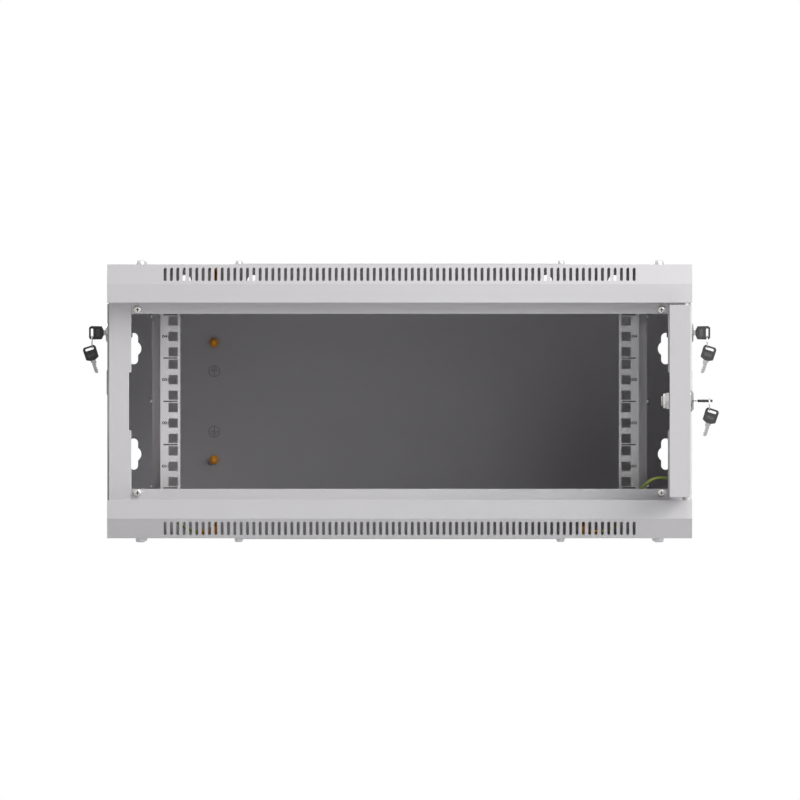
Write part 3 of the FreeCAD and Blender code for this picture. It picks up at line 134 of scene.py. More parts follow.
class Graph:
    """A node tree that one method adds to."""

    def __init__(self, tree: bpy.types.NodeTree) -> None:
        """Takes over a tree and empties it."""
        self.tree = tree
        tree.nodes.clear()

    def node(self, kind: str, settings: Mapping[str, object] | None = None,
             sockets: Mapping[object, object] | None = None) -> bpy.types.Node:
        """Adds a node, sets its settings first and its sockets next.

        Args:
            kind: The node's type.
            settings: Properties of the node, such as a Math node's operation.
            sockets: Values or wires by the socket's name or number.

        Returns:
            The node.
        """
        made = self.tree.nodes.new(kind)
        for key, setting in (settings or {}).items():
            setattr(made, key, setting)
        self.feed(made, sockets or {})
        return made

    def feed(self, node: bpy.types.Node, sockets: Mapping[object, object]) -> None:
        """Sets or links a node's sockets.

        Args:
            node: The node.
            sockets: Values or wires by the socket's name or number.
        """
        for key, given in sockets.items():
            if isinstance(given, Wire):
                self.tree.links.new(given.socket, node.inputs[key])
            else:
                node.inputs[key].default_value = given

    def wire(self, node: bpy.types.Node, output: object = 0) -> Wire:
        """Returns one of the node's outputs as a wire."""
        return Wire(self, node.outputs[output])


class Surface(Graph):
    """A material's node tree around one Principled shader."""

    def __init__(self, name: str) -> None:
        """Makes the material, its Principled shader and its output.

        Args:
            name: The material's name.
        """
        self.material = bpy.data.materials.new(name)
        self.material.use_nodes = True
        super().__init__(self.material.node_tree)
        self.shader = self.node("ShaderNodeBsdfPrincipled")
        self.node("ShaderNodeOutputMaterial", None, {"Surface": self.wire(self.shader)})
        place = self.node("ShaderNodeTexCoord")
        self.place = self.wire(place, "Object")
        self.unwrapped = self.wire(place, "UV")

    def fill(self, sockets: Mapping[object, object]) -> None:
        """Sets or links sockets of the Principled shader."""
        self.feed(self.shader, sockets)

    def noise(self, scale: float, detail: float = 3.0) -> Wire:
        """Adds noise from 0 to 1 over the object's own coordinates.

        Args:
            scale: Waves per metre.
            detail: Octaves.

        Returns:
            The noise.
        """
        return self.wire(self.node("ShaderNodeTexNoise", None,
                                   {"Vector": self.place, "Scale": scale, "Detail": detail}), "Fac")

    def blend(self, share: Wire, first: Colour, second: Colour) -> Wire:
        """Mixes two colours by a share.

        Args:
            share: 0 for the first colour, 1 for the second.
            first: One colour.
            second: The other.

        Returns:
            The mixture.
        """
        made = self.node("ShaderNodeMix", {"data_type": "RGBA"},
                         {0: share, 6: (*first, 1.0), 7: (*second, 1.0)})
        return self.wire(made, 2)

    def bump(self, height: Wire, depth: float, strength: float) -> Wire:
        """Adds a bump.

        Args:
            height: The height, from 0 to 1.
            depth: What a height of 1 stands for, in metres.
            strength: Share of the bump that is used.

        Returns:
            The bent normal.
        """
        made = self.node("ShaderNodeBump", None,
                         {"Height": height, "Distance": depth, "Strength": strength})
        return self.wire(made, "Normal")


def shaded(colour: Colour, factor: float) -> Colour:
    """Returns a colour made lighter or darker by a factor."""
    red, green, blue = (min(1.0, part * factor) for part in colour)
    return red, green, blue


# Finishes

@dataclass(frozen=True)
class PowderCoat:
    """Light grey powder coat: fine orange peel, a slight speckle and faint handling marks."""

    name: str = "powder_coat"
    colour: Colour = (0.605, 0.592, 0.608)
    roughness: float = 0.6
    specular: float = 0.28
    peel: float = 0.04 * MM
    speckle_scale: float = 2600
    cloud_scale: float = 7
    peel_scale: float = 900

    def material(self) -> bpy.types.Material:
        """Returns the material.

        Returns:
            A new material.
        """
        surface = Surface(self.name)
        speckle = surface.noise(self.speckle_scale, 2)
        cloud = surface.noise(self.cloud_scale)
        shade = speckle * 0.5 + cloud * 0.5
        surface.fill({
            "Base Color": surface.blend(shade, shaded(self.colour, 0.965), shaded(self.colour, 1.035)),
            "Roughness": self.roughness + (cloud - 0.5) * 0.08 + (speckle - 0.5) * 0.06,
            "Specular IOR Level": self.specular,
            "Normal": surface.bump(surface.noise(self.peel_scale, 2), self.peel, 0.5),
        })
        return surface.material


@dataclass(frozen=True)
class Plating:
    """Bare or plated metal with a fine grain and dull patches."""

    name: str
    colour: Colour
    roughness: float
    grain: float = 0.02 * MM
    grain_scale: float = 1500
    patch_scale: float = 160

    def material(self) -> bpy.types.Material:
        """Returns the material.

        Returns:
            A new material.
        """
        surface = Surface(self.name)
        grain = surface.noise(self.grain_scale)
        patch = surface.noise(self.patch_scale)
        surface.fill({
            "Base Color": surface.blend(patch, shaded(self.colour, 0.9), shaded(self.colour, 1.08)),
            "Metallic": 1.0,
            "Roughness": self.roughness + (patch - 0.5) * 0.14 + (grain - 0.5) * 0.08,
            "Normal": surface.bump(grain, self.grain, 0.4),
        })
        return surface.material


@dataclass(frozen=True)
class Moulded:
    """Moulded plastic, rubber or a print with a fine spark-eroded texture."""

    name: str
    colour: Colour
    roughness: float
    texture: float = 0.03 * MM
    grain_scale: float = 3200
    patch_scale: float = 120

    def material(self) -> bpy.types.Material:
        """Returns the material.

        Returns:
            A new material.
        """
        surface = Surface(self.name)
        grain = surface.noise(self.grain_scale, 2)
        patch = surface.noise(self.patch_scale)
        surface.fill({
            "Base Color": surface.blend(patch, shaded(self.colour, 0.88), shaded(self.colour, 1.12)),
            "Roughness": self.roughness + (grain - 0.5) * 0.1 + (patch - 0.5) * 0.1,
            "Normal": surface.bump(grain, self.texture, 0.5),
        })
        return surface.material


@dataclass(frozen=True)
class ClearGlass:
    """Toughened glass with a faint green body and a trace of dust."""

    name: str = "toughened_glass"
    colour: Colour = (0.80, 0.90, 0.87)
    index: float = 1.5
    dust_scale: float = 60

    def material(self) -> bpy.types.Material:
        """Returns the material.

        Returns:
            A new material.
        """
        surface = Surface(self.name)
        dust = surface.noise(self.dust_scale, 4)
        surface.fill({
            "Base Color": surface.blend(dust, self.colour, shaded(self.colour, 1.05)),
            "Roughness": dust * 0.03 + 0.01,
            "IOR": self.index,
            "Transmission Weight": 1.0,
            "Alpha": dust * 0.1 + 0.35,
        })
        return surface.material


@dataclass(frozen=True)
class StripedInsulation:
    """Green wire insulation with two yellow stripes that wind along the lead."""

    name: str = "striped_insulation"
    green: Colour = (0.26, 0.44, 0.08)
    yellow: Colour = (0.62, 0.64, 0.16)
    turns_per_diameter: float = 0.06
    repeat: float = 0.5
    stripe: float = 0.24
    patch_scale: float = 300

    def material(self) -> bpy.types.Material:
        """Returns the material.

        Returns:
            A new material.
        """
        surface = Surface(self.name)
        parts = surface.node("ShaderNodeSeparateXYZ", None, {0: surface.unwrapped})
        along, round_it = surface.wire(parts, 0), surface.wire(parts, 1)
        stripe = ((round_it + along * self.turns_per_diameter) % self.repeat) < self.stripe
        patch = surface.noise(self.patch_scale)
        surface.fill({
            "Base Color": surface.blend(stripe, self.green, self.yellow),
            "Roughness": patch * 0.12 + 0.3,
            "Normal": surface.bump(patch, 0.03 * MM, 0.3),
        })
        return surface.material


class Finish(Enum):
    """The finishes of the cabinet, one of them a painted shade, and the record's slot that each belongs to.
    """

    PAINT = (PowderCoat(), "cabinet_paint")
    ZINC = (Plating("zinc_plate", (0.60, 0.61, 0.63), 0.35), "zinc")
    NICKEL = (Plating("nickel_plate", (0.66, 0.65, 0.63), 0.23, 0.01 * MM), "nickel")
    CHROME = (Plating("bright_chrome", (0.40, 0.40, 0.41), 0.15, 0.004 * MM), "nickel")
    STEEL = (Plating("key_blank", (0.40, 0.40, 0.40), 0.31, 0.01 * MM), "nickel")
    BRASS = (Plating("plain_brass", (0.62, 0.27, 0.045), 0.41), "brass")
    GLASS = (ClearGlass(), "glass")
    TAPE = (Moulded("foam_tape", (0.02, 0.02, 0.02), 0.7, 0.06 * MM), "tape")
    NYLON = (Moulded("natural_nylon", (0.62, 0.61, 0.57), 0.45), "nylon")
    WIRE = (StripedInsulation(), "earth_wire")
    GRIP = (Moulded("key_grip", (0.03, 0.03, 0.032), 0.42), "nickel")
    LABEL = (Moulded("key_patch", (0.075, 0.075, 0.075), 0.3), "nickel")
    # Painted shade: a near-black finish on the faces inside the screws' cross recesses, standing in for the
    # shadow that falls there.
    RECESS = (Moulded("painted_recess_shade", (0.015, 0.015, 0.015), 0.5), "zinc")
    INK = (Moulded("printed_ink", (0.03, 0.03, 0.03), 0.6), "cabinet_paint")
    SIGN = (Moulded("printed_sign", (0.34, 0.34, 0.34), 0.6), "cabinet_paint")

    def material(self) -> bpy.types.Material:
        """Returns the finish's material, made on first use."""
        recipe = self.value[0]
        return bpy.data.materials.get(recipe.name) or recipe.material()


# Meshes

class Shape:
    """A mesh under construction, in the cabinet's frame, in metres."""

    def __init__(self) -> None:
        """Starts empty."""
        self.mesh = bmesh.new()

    def add(self, verts: Iterable[Vector], faces: Iterable[Sequence[int]], slot: int = 0,
            smooth: bool = True) -> None:
        """Adds vertices and faces.

        Args:
            verts: The corners.
            faces: Corner numbers of each face.
            slot: Number of the finish.
            smooth: Whether the faces are shaded smooth.
        """
        made = [self.mesh.verts.new(vert) for vert in verts]
        for corners in faces:
            face = self.mesh.faces.new([made[number] for number in corners])
            face.smooth = smooth
            face.material_index = slot

    def lathe(self, profile: Outline, place: Matrix, segments: int = 32) -> None:
        """Turns a profile about Z.

        Args:
            profile: (radius, height) pairs; a radius of 0 closes the end.
            place: Where the turned piece goes.
            segments: Steps round the axis.
        """
        verts: list[Vector] = []
        rings: list[list[int]] = []
        for radius, height in profile:
            count = 1 if radius == 0 else segments
            rings.append([len(verts) + step for step in range(count)])
            for step in range(count):
                turn = FULL_TURN * step / segments
                verts.append(place @ Vector((radius * math.cos(turn), radius * math.sin(turn), height)))
        faces: list[tuple[int, ...]] = []
        for low, high in zip(rings, rings[1:]):
            for step in range(segments):
                after = (step + 1) % segments
                corners = (low[step % len(low)], low[after % len(low)],
                           high[after % len(high)], high[step % len(high)])
                faces.append(tuple(dict.fromkeys(corners)))
        self.add(verts, [face for face in faces if len(face) > 2])

    def prism(self, outline: Outline, low: float, high: float, place: Matrix, slot: int = 0,
              bevel: float = 0.0) -> None:
        """Raises an outline along Z, with an optional chamfer at both ends.

        Args:
            outline: Corners, anticlockwise seen from +Z.
            low: Lower height.
            high: Upper height.
            place: Where the prism goes.
            slot: Number of the finish.
            bevel: Size of the chamfer.
        """
        middle = Vector((sum(x for x, _ in outline), sum(y for _, y in outline))) / len(outline)
        reach = max((Vector(corner) - middle).length for corner in outline)
        levels = [(low, 1.0), (high, 1.0)]
        if bevel:
            small = 1 - bevel / reach
            levels = [(low, small), (low + bevel, 1.0), (high - bevel, 1.0), (high, small)]
        verts = [place @ Vector((*(middle + (Vector(corner) - middle) * size), height))
                 for height, size in levels for corner in outline]
        count = len(outline)
        faces: list[tuple[int, ...]] = [tuple(reversed(range(count))),
                                        tuple(range(len(verts) - count, len(verts)))]
        for level in range(len(levels) - 1):
            start = level * count
            faces += [(start + step, start + (step + 1) % count,
                       start + count + (step + 1) % count, start + count + step)
                      for step in range(count)]
        self.add(verts, faces, slot, smooth=False)

    def tube(self, path: Sequence[Vector], radius: float, segments: int) -> None:
        """Runs a round section along an open path and unwraps it in wire diameters.

        Args:
            path: Points along the middle.
            radius: The section's radius.
            segments: Steps round the section.
        """
        layers = self.mesh.loops.layers.uv
        unwrap = layers.get("wound") or layers.new("wound")
        side = Vector((0, 1, 0))
        rings: list[list[bmesh.types.BMVert]] = []
        lengths = [0.0]
        for number, point in enumerate(path):
            before, after = path[max(number - 1, 0)], path[min(number + 1, len(path) - 1)]
            along = (after - before).normalized()
            side = (side - along * side.dot(along)).normalized()
            third = along.cross(side)
            rings.append([self.mesh.verts.new(
                point + (side * math.cos(FULL_TURN * step / segments)
                         + third * math.sin(FULL_TURN * step / segments)) * radius)
                for step in range(segments)])
            lengths.append(lengths[-1] + (after - point).length / (2 * radius))
        for number, (low, high) in enumerate(zip(rings, rings[1:])):
            start, end = lengths[number:number + 2]
            for step in range(segments):
                after = (step + 1) % segments
                face = self.mesh.faces.new((low[step], low[after], high[after], high[step]))
                face.smooth = True
                marks = ((start, step), (start, step + 1), (end, step + 1), (end, step))
                for loop, (along_it, round_it) in zip(face.loops, marks):
                    loop[unwrap].uv = (along_it, round_it / segments)
        for ring in (list(reversed(rings[0])), rings[-1]):
            self.mesh.faces.new(ring)

    def handed_over(self, name: str) -> bpy.types.Mesh:
        """Writes the mesh into mesh data and lets go of it.

        Args:
            name: The data's name.

        Returns:
            The mesh data.
        """
        data = bpy.data.meshes.new(name)
        self.mesh.to_mesh(data)
        self.mesh.free()
        return data

    def join(self, other: "Shape") -> None:
        """Takes in another shape.

        Args:
            other: The shape, which is used up.
        """
        data = other.handed_over("joined")
        self.mesh.from_mesh(data)
        bpy.data.meshes.remove(data)

    def piece(self, name: str, body: str, finishes: Sequence[Finish],
              replaces: Sequence[str] = (), sharp: float = 40.0) -> bpy.types.Object:
        """Closes the mesh and puts it in the scene as one piece.

        Args:
            name: The piece's name.
            body: The CAD body that it rides on.
            finishes: Its finishes, by slot number.
            replaces: CAD nodes that it stands for.
            sharp: Edges above this angle stay sharp, in degrees.

        Returns:
            The piece.
        """
        bmesh.ops.recalc_face_normals(self.mesh, faces=self.mesh.faces)
        for edge in self.mesh.edges:
            if len(edge.link_faces) == 2 and edge.calc_face_angle(0) > math.radians(sharp):
                edge.smooth = False
        data = self.handed_over(name)
        made = bpy.data.objects.new(name, data)
        bpy.context.scene.collection.objects.link(made)
        for finish in finishes:
            data.materials.append(finish.material())
        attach(made, body)
        if replaces:
            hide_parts(*replaces)
        LOG.info("%s rides on %s", name, body)
        return made


def carved(solid: Shape, tool: Shape) -> Shape:
    """Cuts one shape out of another.

    Args:
        solid: The shape that is kept.
        tool: The shape that is taken away.

    Returns:
        A new shape.
    """
    made: list[bpy.types.Object] = []
    for shape in (solid, tool):
        bmesh.ops.recalc_face_normals(shape.mesh, faces=shape.mesh.faces)
        made.append(bpy.data.objects.new("cut", shape.handed_over("cut")))
        bpy.context.scene.collection.objects.link(made[-1])
    modifier = made[0].modifiers.new("cut", "BOOLEAN")
    modifier.operation = "DIFFERENCE"
    modifier.solver = "EXACT"
    modifier.object = made[1]
    bpy.context.view_layer.update()
    seen = made[0].evaluated_get(bpy.context.evaluated_depsgraph_get())
    result = Shape()
    result.mesh.from_mesh(seen.to_mesh())
    seen.to_mesh_clear()
    for leftover in made:
        bpy.data.objects.remove(leftover)
    return result


def copied(shape: Shape, places: Iterable[Matrix]) -> Shape:
    """Copies a shape to several places.

    Args:
        shape: The shape, which is used up.
        places: Where the copies go.

    Returns:
        A new shape.
    """
    data = shape.handed_over("copy")
    result = Shape()
    for place in places:
        held = data.copy()
        held.transform(place)
        if place.determinant() < 0:
            held.flip_normals()
        result.mesh.from_mesh(held)
        bpy.data.meshes.remove(held)
    bpy.data.meshes.remove(data)
    return result


class Facing(Enum):
    """Turns that take a piece made along +Z to another direction."""

    UP = Matrix.Identity(4)
    DOWN = Matrix.Rotation(math.pi, 4, "X")
    RIGHT = Matrix.Rotation(math.pi / 2, 4, "Y")
    LEFT = Matrix.Rotation(-math.pi / 2, 4, "Y")
    FRONT = Matrix.Rotation(math.pi / 2, 4, "X")
    BACK = Matrix.Rotation(-math.pi / 2, 4, "X")

    def at(self, x: float, y: float, z: float) -> Matrix:
        """Returns the turn at a place given in millimetres."""
        return Matrix.Translation(Vector((x, y, z)) * MM) @ self.value


def regular(corners: int, radius: float) -> list[tuple[float, float]]:
    """Returns the corners of a regular polygon, anticlockwise."""
    return [(radius * math.cos(FULL_TURN * step / corners),
             radius * math.sin(FULL_TURN * step / corners)) for step in range(corners)]


def rounded(width: float, height: float, radius: float, steps: int = 4) -> list[tuple[float, float]]:
    """Draws a rectangle with rounded corners about the origin.

    Args:
        width: Its size along X.
        height: Its size along Y.
        radius: Radius of its corners.
        steps: Steps of a corner.

    Returns:
        Its outline, anticlockwise.
    """
    points: list[tuple[float, float]] = []
    for quarter, (x, y) in enumerate(((1, 1), (-1, 1), (-1, -1), (1, -1))):
        for step in range(steps + 1):
            turn = math.pi / 2 * (quarter + step / steps)
            points.append((x * (width / 2 - radius) + radius * math.cos(turn),
                           y * (height / 2 - radius) + radius * math.sin(turn)))
    return points


def softened(outline: Outline, cut: float, steps: int = 3) -> list[tuple[float, float]]:
    """Rounds the corners of an outline.

    Args:
        outline: Its corners.
        cut: How far a curve starts from its corner.
        steps: Steps of a curve.

    Returns:
        The rounded outline.
    """
    points: list[tuple[float, float]] = []
    count = len(outline)
    for number, corner in enumerate(outline):
        middle = Vector(corner)
        before = Vector(outline[number - 1]) - middle
        after = Vector(outline[(number + 1) % count]) - middle
        first = middle + before.normalized() * min(cut, before.length * 0.45)
        last = middle + after.normalized() * min(cut, after.length * 0.45)
        for step in range(steps + 1):
            share = step / steps
            point = first * (1 - share) ** 2 + middle * 2 * share * (1 - share) + last * share ** 2
            points.append((point.x, point.y))
    return points


# Carries from the drawn place of the door's and the left side's pieces to where they are.
# The door is drawn open by 90 degrees and stands a little short of that.
DOOR_AXIS = Vector((294.2, -445.6, 0)) * MM
SHORT_OF_SQUARE = math.radians(0.44)
HUNG = (Matrix.Translation(DOOR_AXIS) @ Matrix.Rotation(-SHORT_OF_SQUARE, 4, "Z")
        @ Matrix.Translation(-DOOR_AXIS))
MIRRORED = Matrix.Scale(-1, 4, Vector((1, 0, 0)))
OUTWARD = Matrix(((0, 0, 1, 0), (1, 0, 0, 0), (0, 1, 0, 0), (0, 0, 0, 1)))
IN_MM = Matrix.Scale(MM, 4)


# Sub-assemblies

@dataclass
class SheetMetal:
    """The pieces that keep their CAD form and get softened edges, most of them folded sheet."""

    edge: float = 0.45 * MM
    small_edge: float = 0.2 * MM
    segments: int = 2
    weld: float = 0.01 * MM
    flat_below: float = 0.5
    round_above: float = 40.0

    def dress(self) -> None:
        """Gives every CAD node its finish and rounded edges, wider ones on painted sheet."""
        for entry in frame["record"]["subparts"]:
            node = frame["nodes"][entry["node"]]
            finish = next(item for item in Finish if item.value[1] == entry["material_slot"])
            node.data.materials.clear()
            node.data.materials.append(finish.material())
            self.soften(node, self.edge if finish is Finish.PAINT else self.small_edge)
            LOG.info("%s keeps its CAD form, %s", node.name, finish.name.lower())

    def soften(self, node: bpy.types.Object, width: float) -> None:
        """Rounds a node's sharp edges.

        Args:
            node: The node's object.
            width: Width of the rounding, in metres.
        """
        weld = node.modifiers.new("weld", "WELD")
        weld.merge_threshold = self.weld
        flat = node.modifiers.new("flat", "DECIMATE")
        flat.decimate_type = "DISSOLVE"
        flat.angle_limit = math.radians(self.flat_below)
        bevel = node.modifiers.new("fold", "BEVEL")
        bevel.width = width
        bevel.segments = self.segments
        bevel.limit_method = "ANGLE"
        bevel.angle_limit = math.radians(self.round_above)
        bevel.use_clamp_overlap = True
        node.modifiers.new("shade", "WEIGHTED_NORMAL").keep_sharp = True


@dataclass(frozen=True)
class Screw:
    """A cross-head screw in mm, along +Z from its seat at z = 0."""

    radius: float
    high: float
    shank: float
    long: float = 6.0
    shank_steps: int = 20
    skirt: float = 0.4
    dome_steps: int = 7
    crown: float = 0.58
    side_high: float = 0.4
    arm: float = 0.52
    arm_half: float = 0.11
    floor: float = 0.3

    def head(self) -> Shape:
        """Builds the pan head with its cross recess.

        Returns:
            The head; the faces of its recess take the second finish, a near-black painted shade in place of
            the shadow inside the recess.
        """
        quarters = [math.pi / 2 * step / self.dome_steps for step in range(self.dome_steps + 1)]
        dome = [(self.radius * (self.crown + (1 - self.crown) * math.cos(turn)),
                 self.high * (self.side_high + (1 - self.side_high) * math.sin(turn)))
                for turn in quarters]
        solid, tool = Shape(), Shape()
        solid.lathe([(0, -self.skirt), (self.radius, -self.skirt), *dome, (0, self.high)], IN_MM, 28)
        arm, half = self.radius * self.arm, self.radius * self.arm_half
        cross = [(arm, -half), (arm, half), (half, half), (half, arm), (-half, arm), (-half, half),
                 (-arm, half), (-arm, -half), (-half, -half), (-half, -arm), (half, -arm), (half, -half)]
        tool.prism(cross, self.high * self.floor, self.high * 1.2, IN_MM)
        made = carved(solid, tool)
        # Faces inside the cross recess take the second finish, which paints the recess's shadow in
        # near-black.
        for face in made.mesh.faces:
            spot = face.calc_center_median() / MM
            level = abs(face.normal.z) > 0.5
            sunk = spot.z < self.high * (self.floor + 0.02 if level else 0.96)
            if sunk and spot.z > 0 and spot.xy.length < arm * 1.1:
                face.material_index = 1
        return made

    def build(self) -> Shape:
        """Builds the head with its plain shank.

        Returns:
            The whole screw.
        """
        made = self.head()
        made.lathe([(0, -self.long), (self.shank, -self.long), (self.shank, 0), (0, 0)], IN_MM,
                   self.shank_steps)
        return made


@dataclass
class Screws:
    """The screws of the decks, the cable covers, the bands and the rails, in mm."""

    deck: Screw = Screw(5.1, 4.3, 2.9)
    deck_x: float = 266.2
    deck_y: tuple[float, float] = (-369.0, -72.0)
    deck_z: float = 140.5
    cover: Screw = Screw(4.0, 3.0, 1.9)
    cover_x: float = 166.0
    cover_y: tuple[float, float] = (-110.0, -230.0)
    cover_z: float = 142.0
    band: Screw = Screw(4.1, 2.5, 2.0, shank_steps=16)
    band_at: tuple[float, float, float] = (268.9, -427.5, 94.0)
    rail: Screw = Screw(3.2, 2.5, 2.0, long=5.0, shank_steps=16)
    rail_at: tuple[float, float] = (254.2, -352.0)
    rail_z: tuple[float, float, float] = (88.0, 0.0, -88.0)

    def build(self) -> None:
        """Builds all the screws."""
        rows = (("deck_screw", self.deck, self.deck_x, self.deck_y, self.deck_z),
                ("cover_screw", self.cover, self.cover_x, self.cover_y, self.cover_z))
        # The second finish paints shade into the cross recesses.
        zinc = [Finish.ZINC, Finish.RECESS]
        for word, screw, x, ys, z in rows:
            places = [facing.at(side * x, y, way * z) for side in (1, -1) for y in ys
                      for way, facing in ((1, Facing.UP), (-1, Facing.DOWN))]
            copied(screw.build(), places).piece(word + "_heads", "cabinet", zinc, [word + "s"])
        x, y, z = self.band_at
        places = [Facing.FRONT.at(side * x, y, way * z) for side in (1, -1) for way in (1, -1)]
        # The band screws' recesses get the same painted shade.
        copied(self.band.build(), places).piece("band_screw_heads", "cabinet",
                                                [Finish.NICKEL, Finish.RECESS], ["band_screws"])
        x, y = self.rail_at
        for side, word, facing in ((1, "right", Facing.RIGHT), (-1, "left", Facing.LEFT)):
            places = [facing.at(side * x, y, z) for z in self.rail_z]
            copied(self.rail.build(), places).piece("rail_screw_heads_" + word, "rail_set_" + word, zinc,
                                                    ["rail_screws_" + word])


@dataclass
class RailMarks:
    """Printed unit lines and numbers on the front of the rails, in mm."""

    front: float = -390.0
    unit: float = 44.45
    units: int = 4
    proud: float = 0.05
    line_x: float = 235.3
    line: tuple[float, float, float] = (14.5, 1.3, 0.1)
    number_x: float = 241.3
    number_high: float = 3.9
    number_wide: float = 1.45
    number_bold: float = 0.12
    number_spacing: float = 0.9

    def build(self) -> None:
        """Prints both rails."""
        for side, word in ((1, "right"), (-1, "left")):
            shape = Shape()
            for number in range(self.units + 1):
                place = Facing.FRONT.at(side * self.line_x, self.front, (number - self.units / 2) * self.unit)
                shape.prism(rounded(*self.line, steps=1), 0, self.proud, place @ IN_MM)
            shape.piece("unit_lines_" + word, "rail_set_" + word, [Finish.INK])
            for number in range(1, self.units + 1):
                self.number(side, word, number)

    def number(self, side: int, word: str, number: int) -> None:
        """Prints one unit's number beside its middle hole.

        Args:
            side: 1 for the right rail, -1 for the left one.
            word: The side's name.
            number: The unit, counted from below.
        """
        curve = bpy.data.curves.new("unit_number_%s_%d" % (word, number), "FONT")
        curve.body = "%02d" % number
        curve.size = self.number_high * MM
        curve.offset = self.number_bold * MM
        curve.extrude = self.proud * MM
        curve.align_x = "CENTER"
        curve.align_y = "CENTER"
        curve.space_character = self.number_spacing
        made = bpy.data.objects.new(curve.name, curve)
        bpy.context.scene.collection.objects.link(made)
        height = (number - (self.units + 1) / 2) * self.unit
        made.matrix_world = (Facing.FRONT.at(side * self.number_x, self.front, height)
                             @ Matrix.Scale(self.number_wide, 4, Vector((1, 0, 0))))
        curve.materials.append(Finish.INK.material())
        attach(made, "rail_set_" + word)
        LOG.info("%s rides on rail_set_%s", made.name, word)


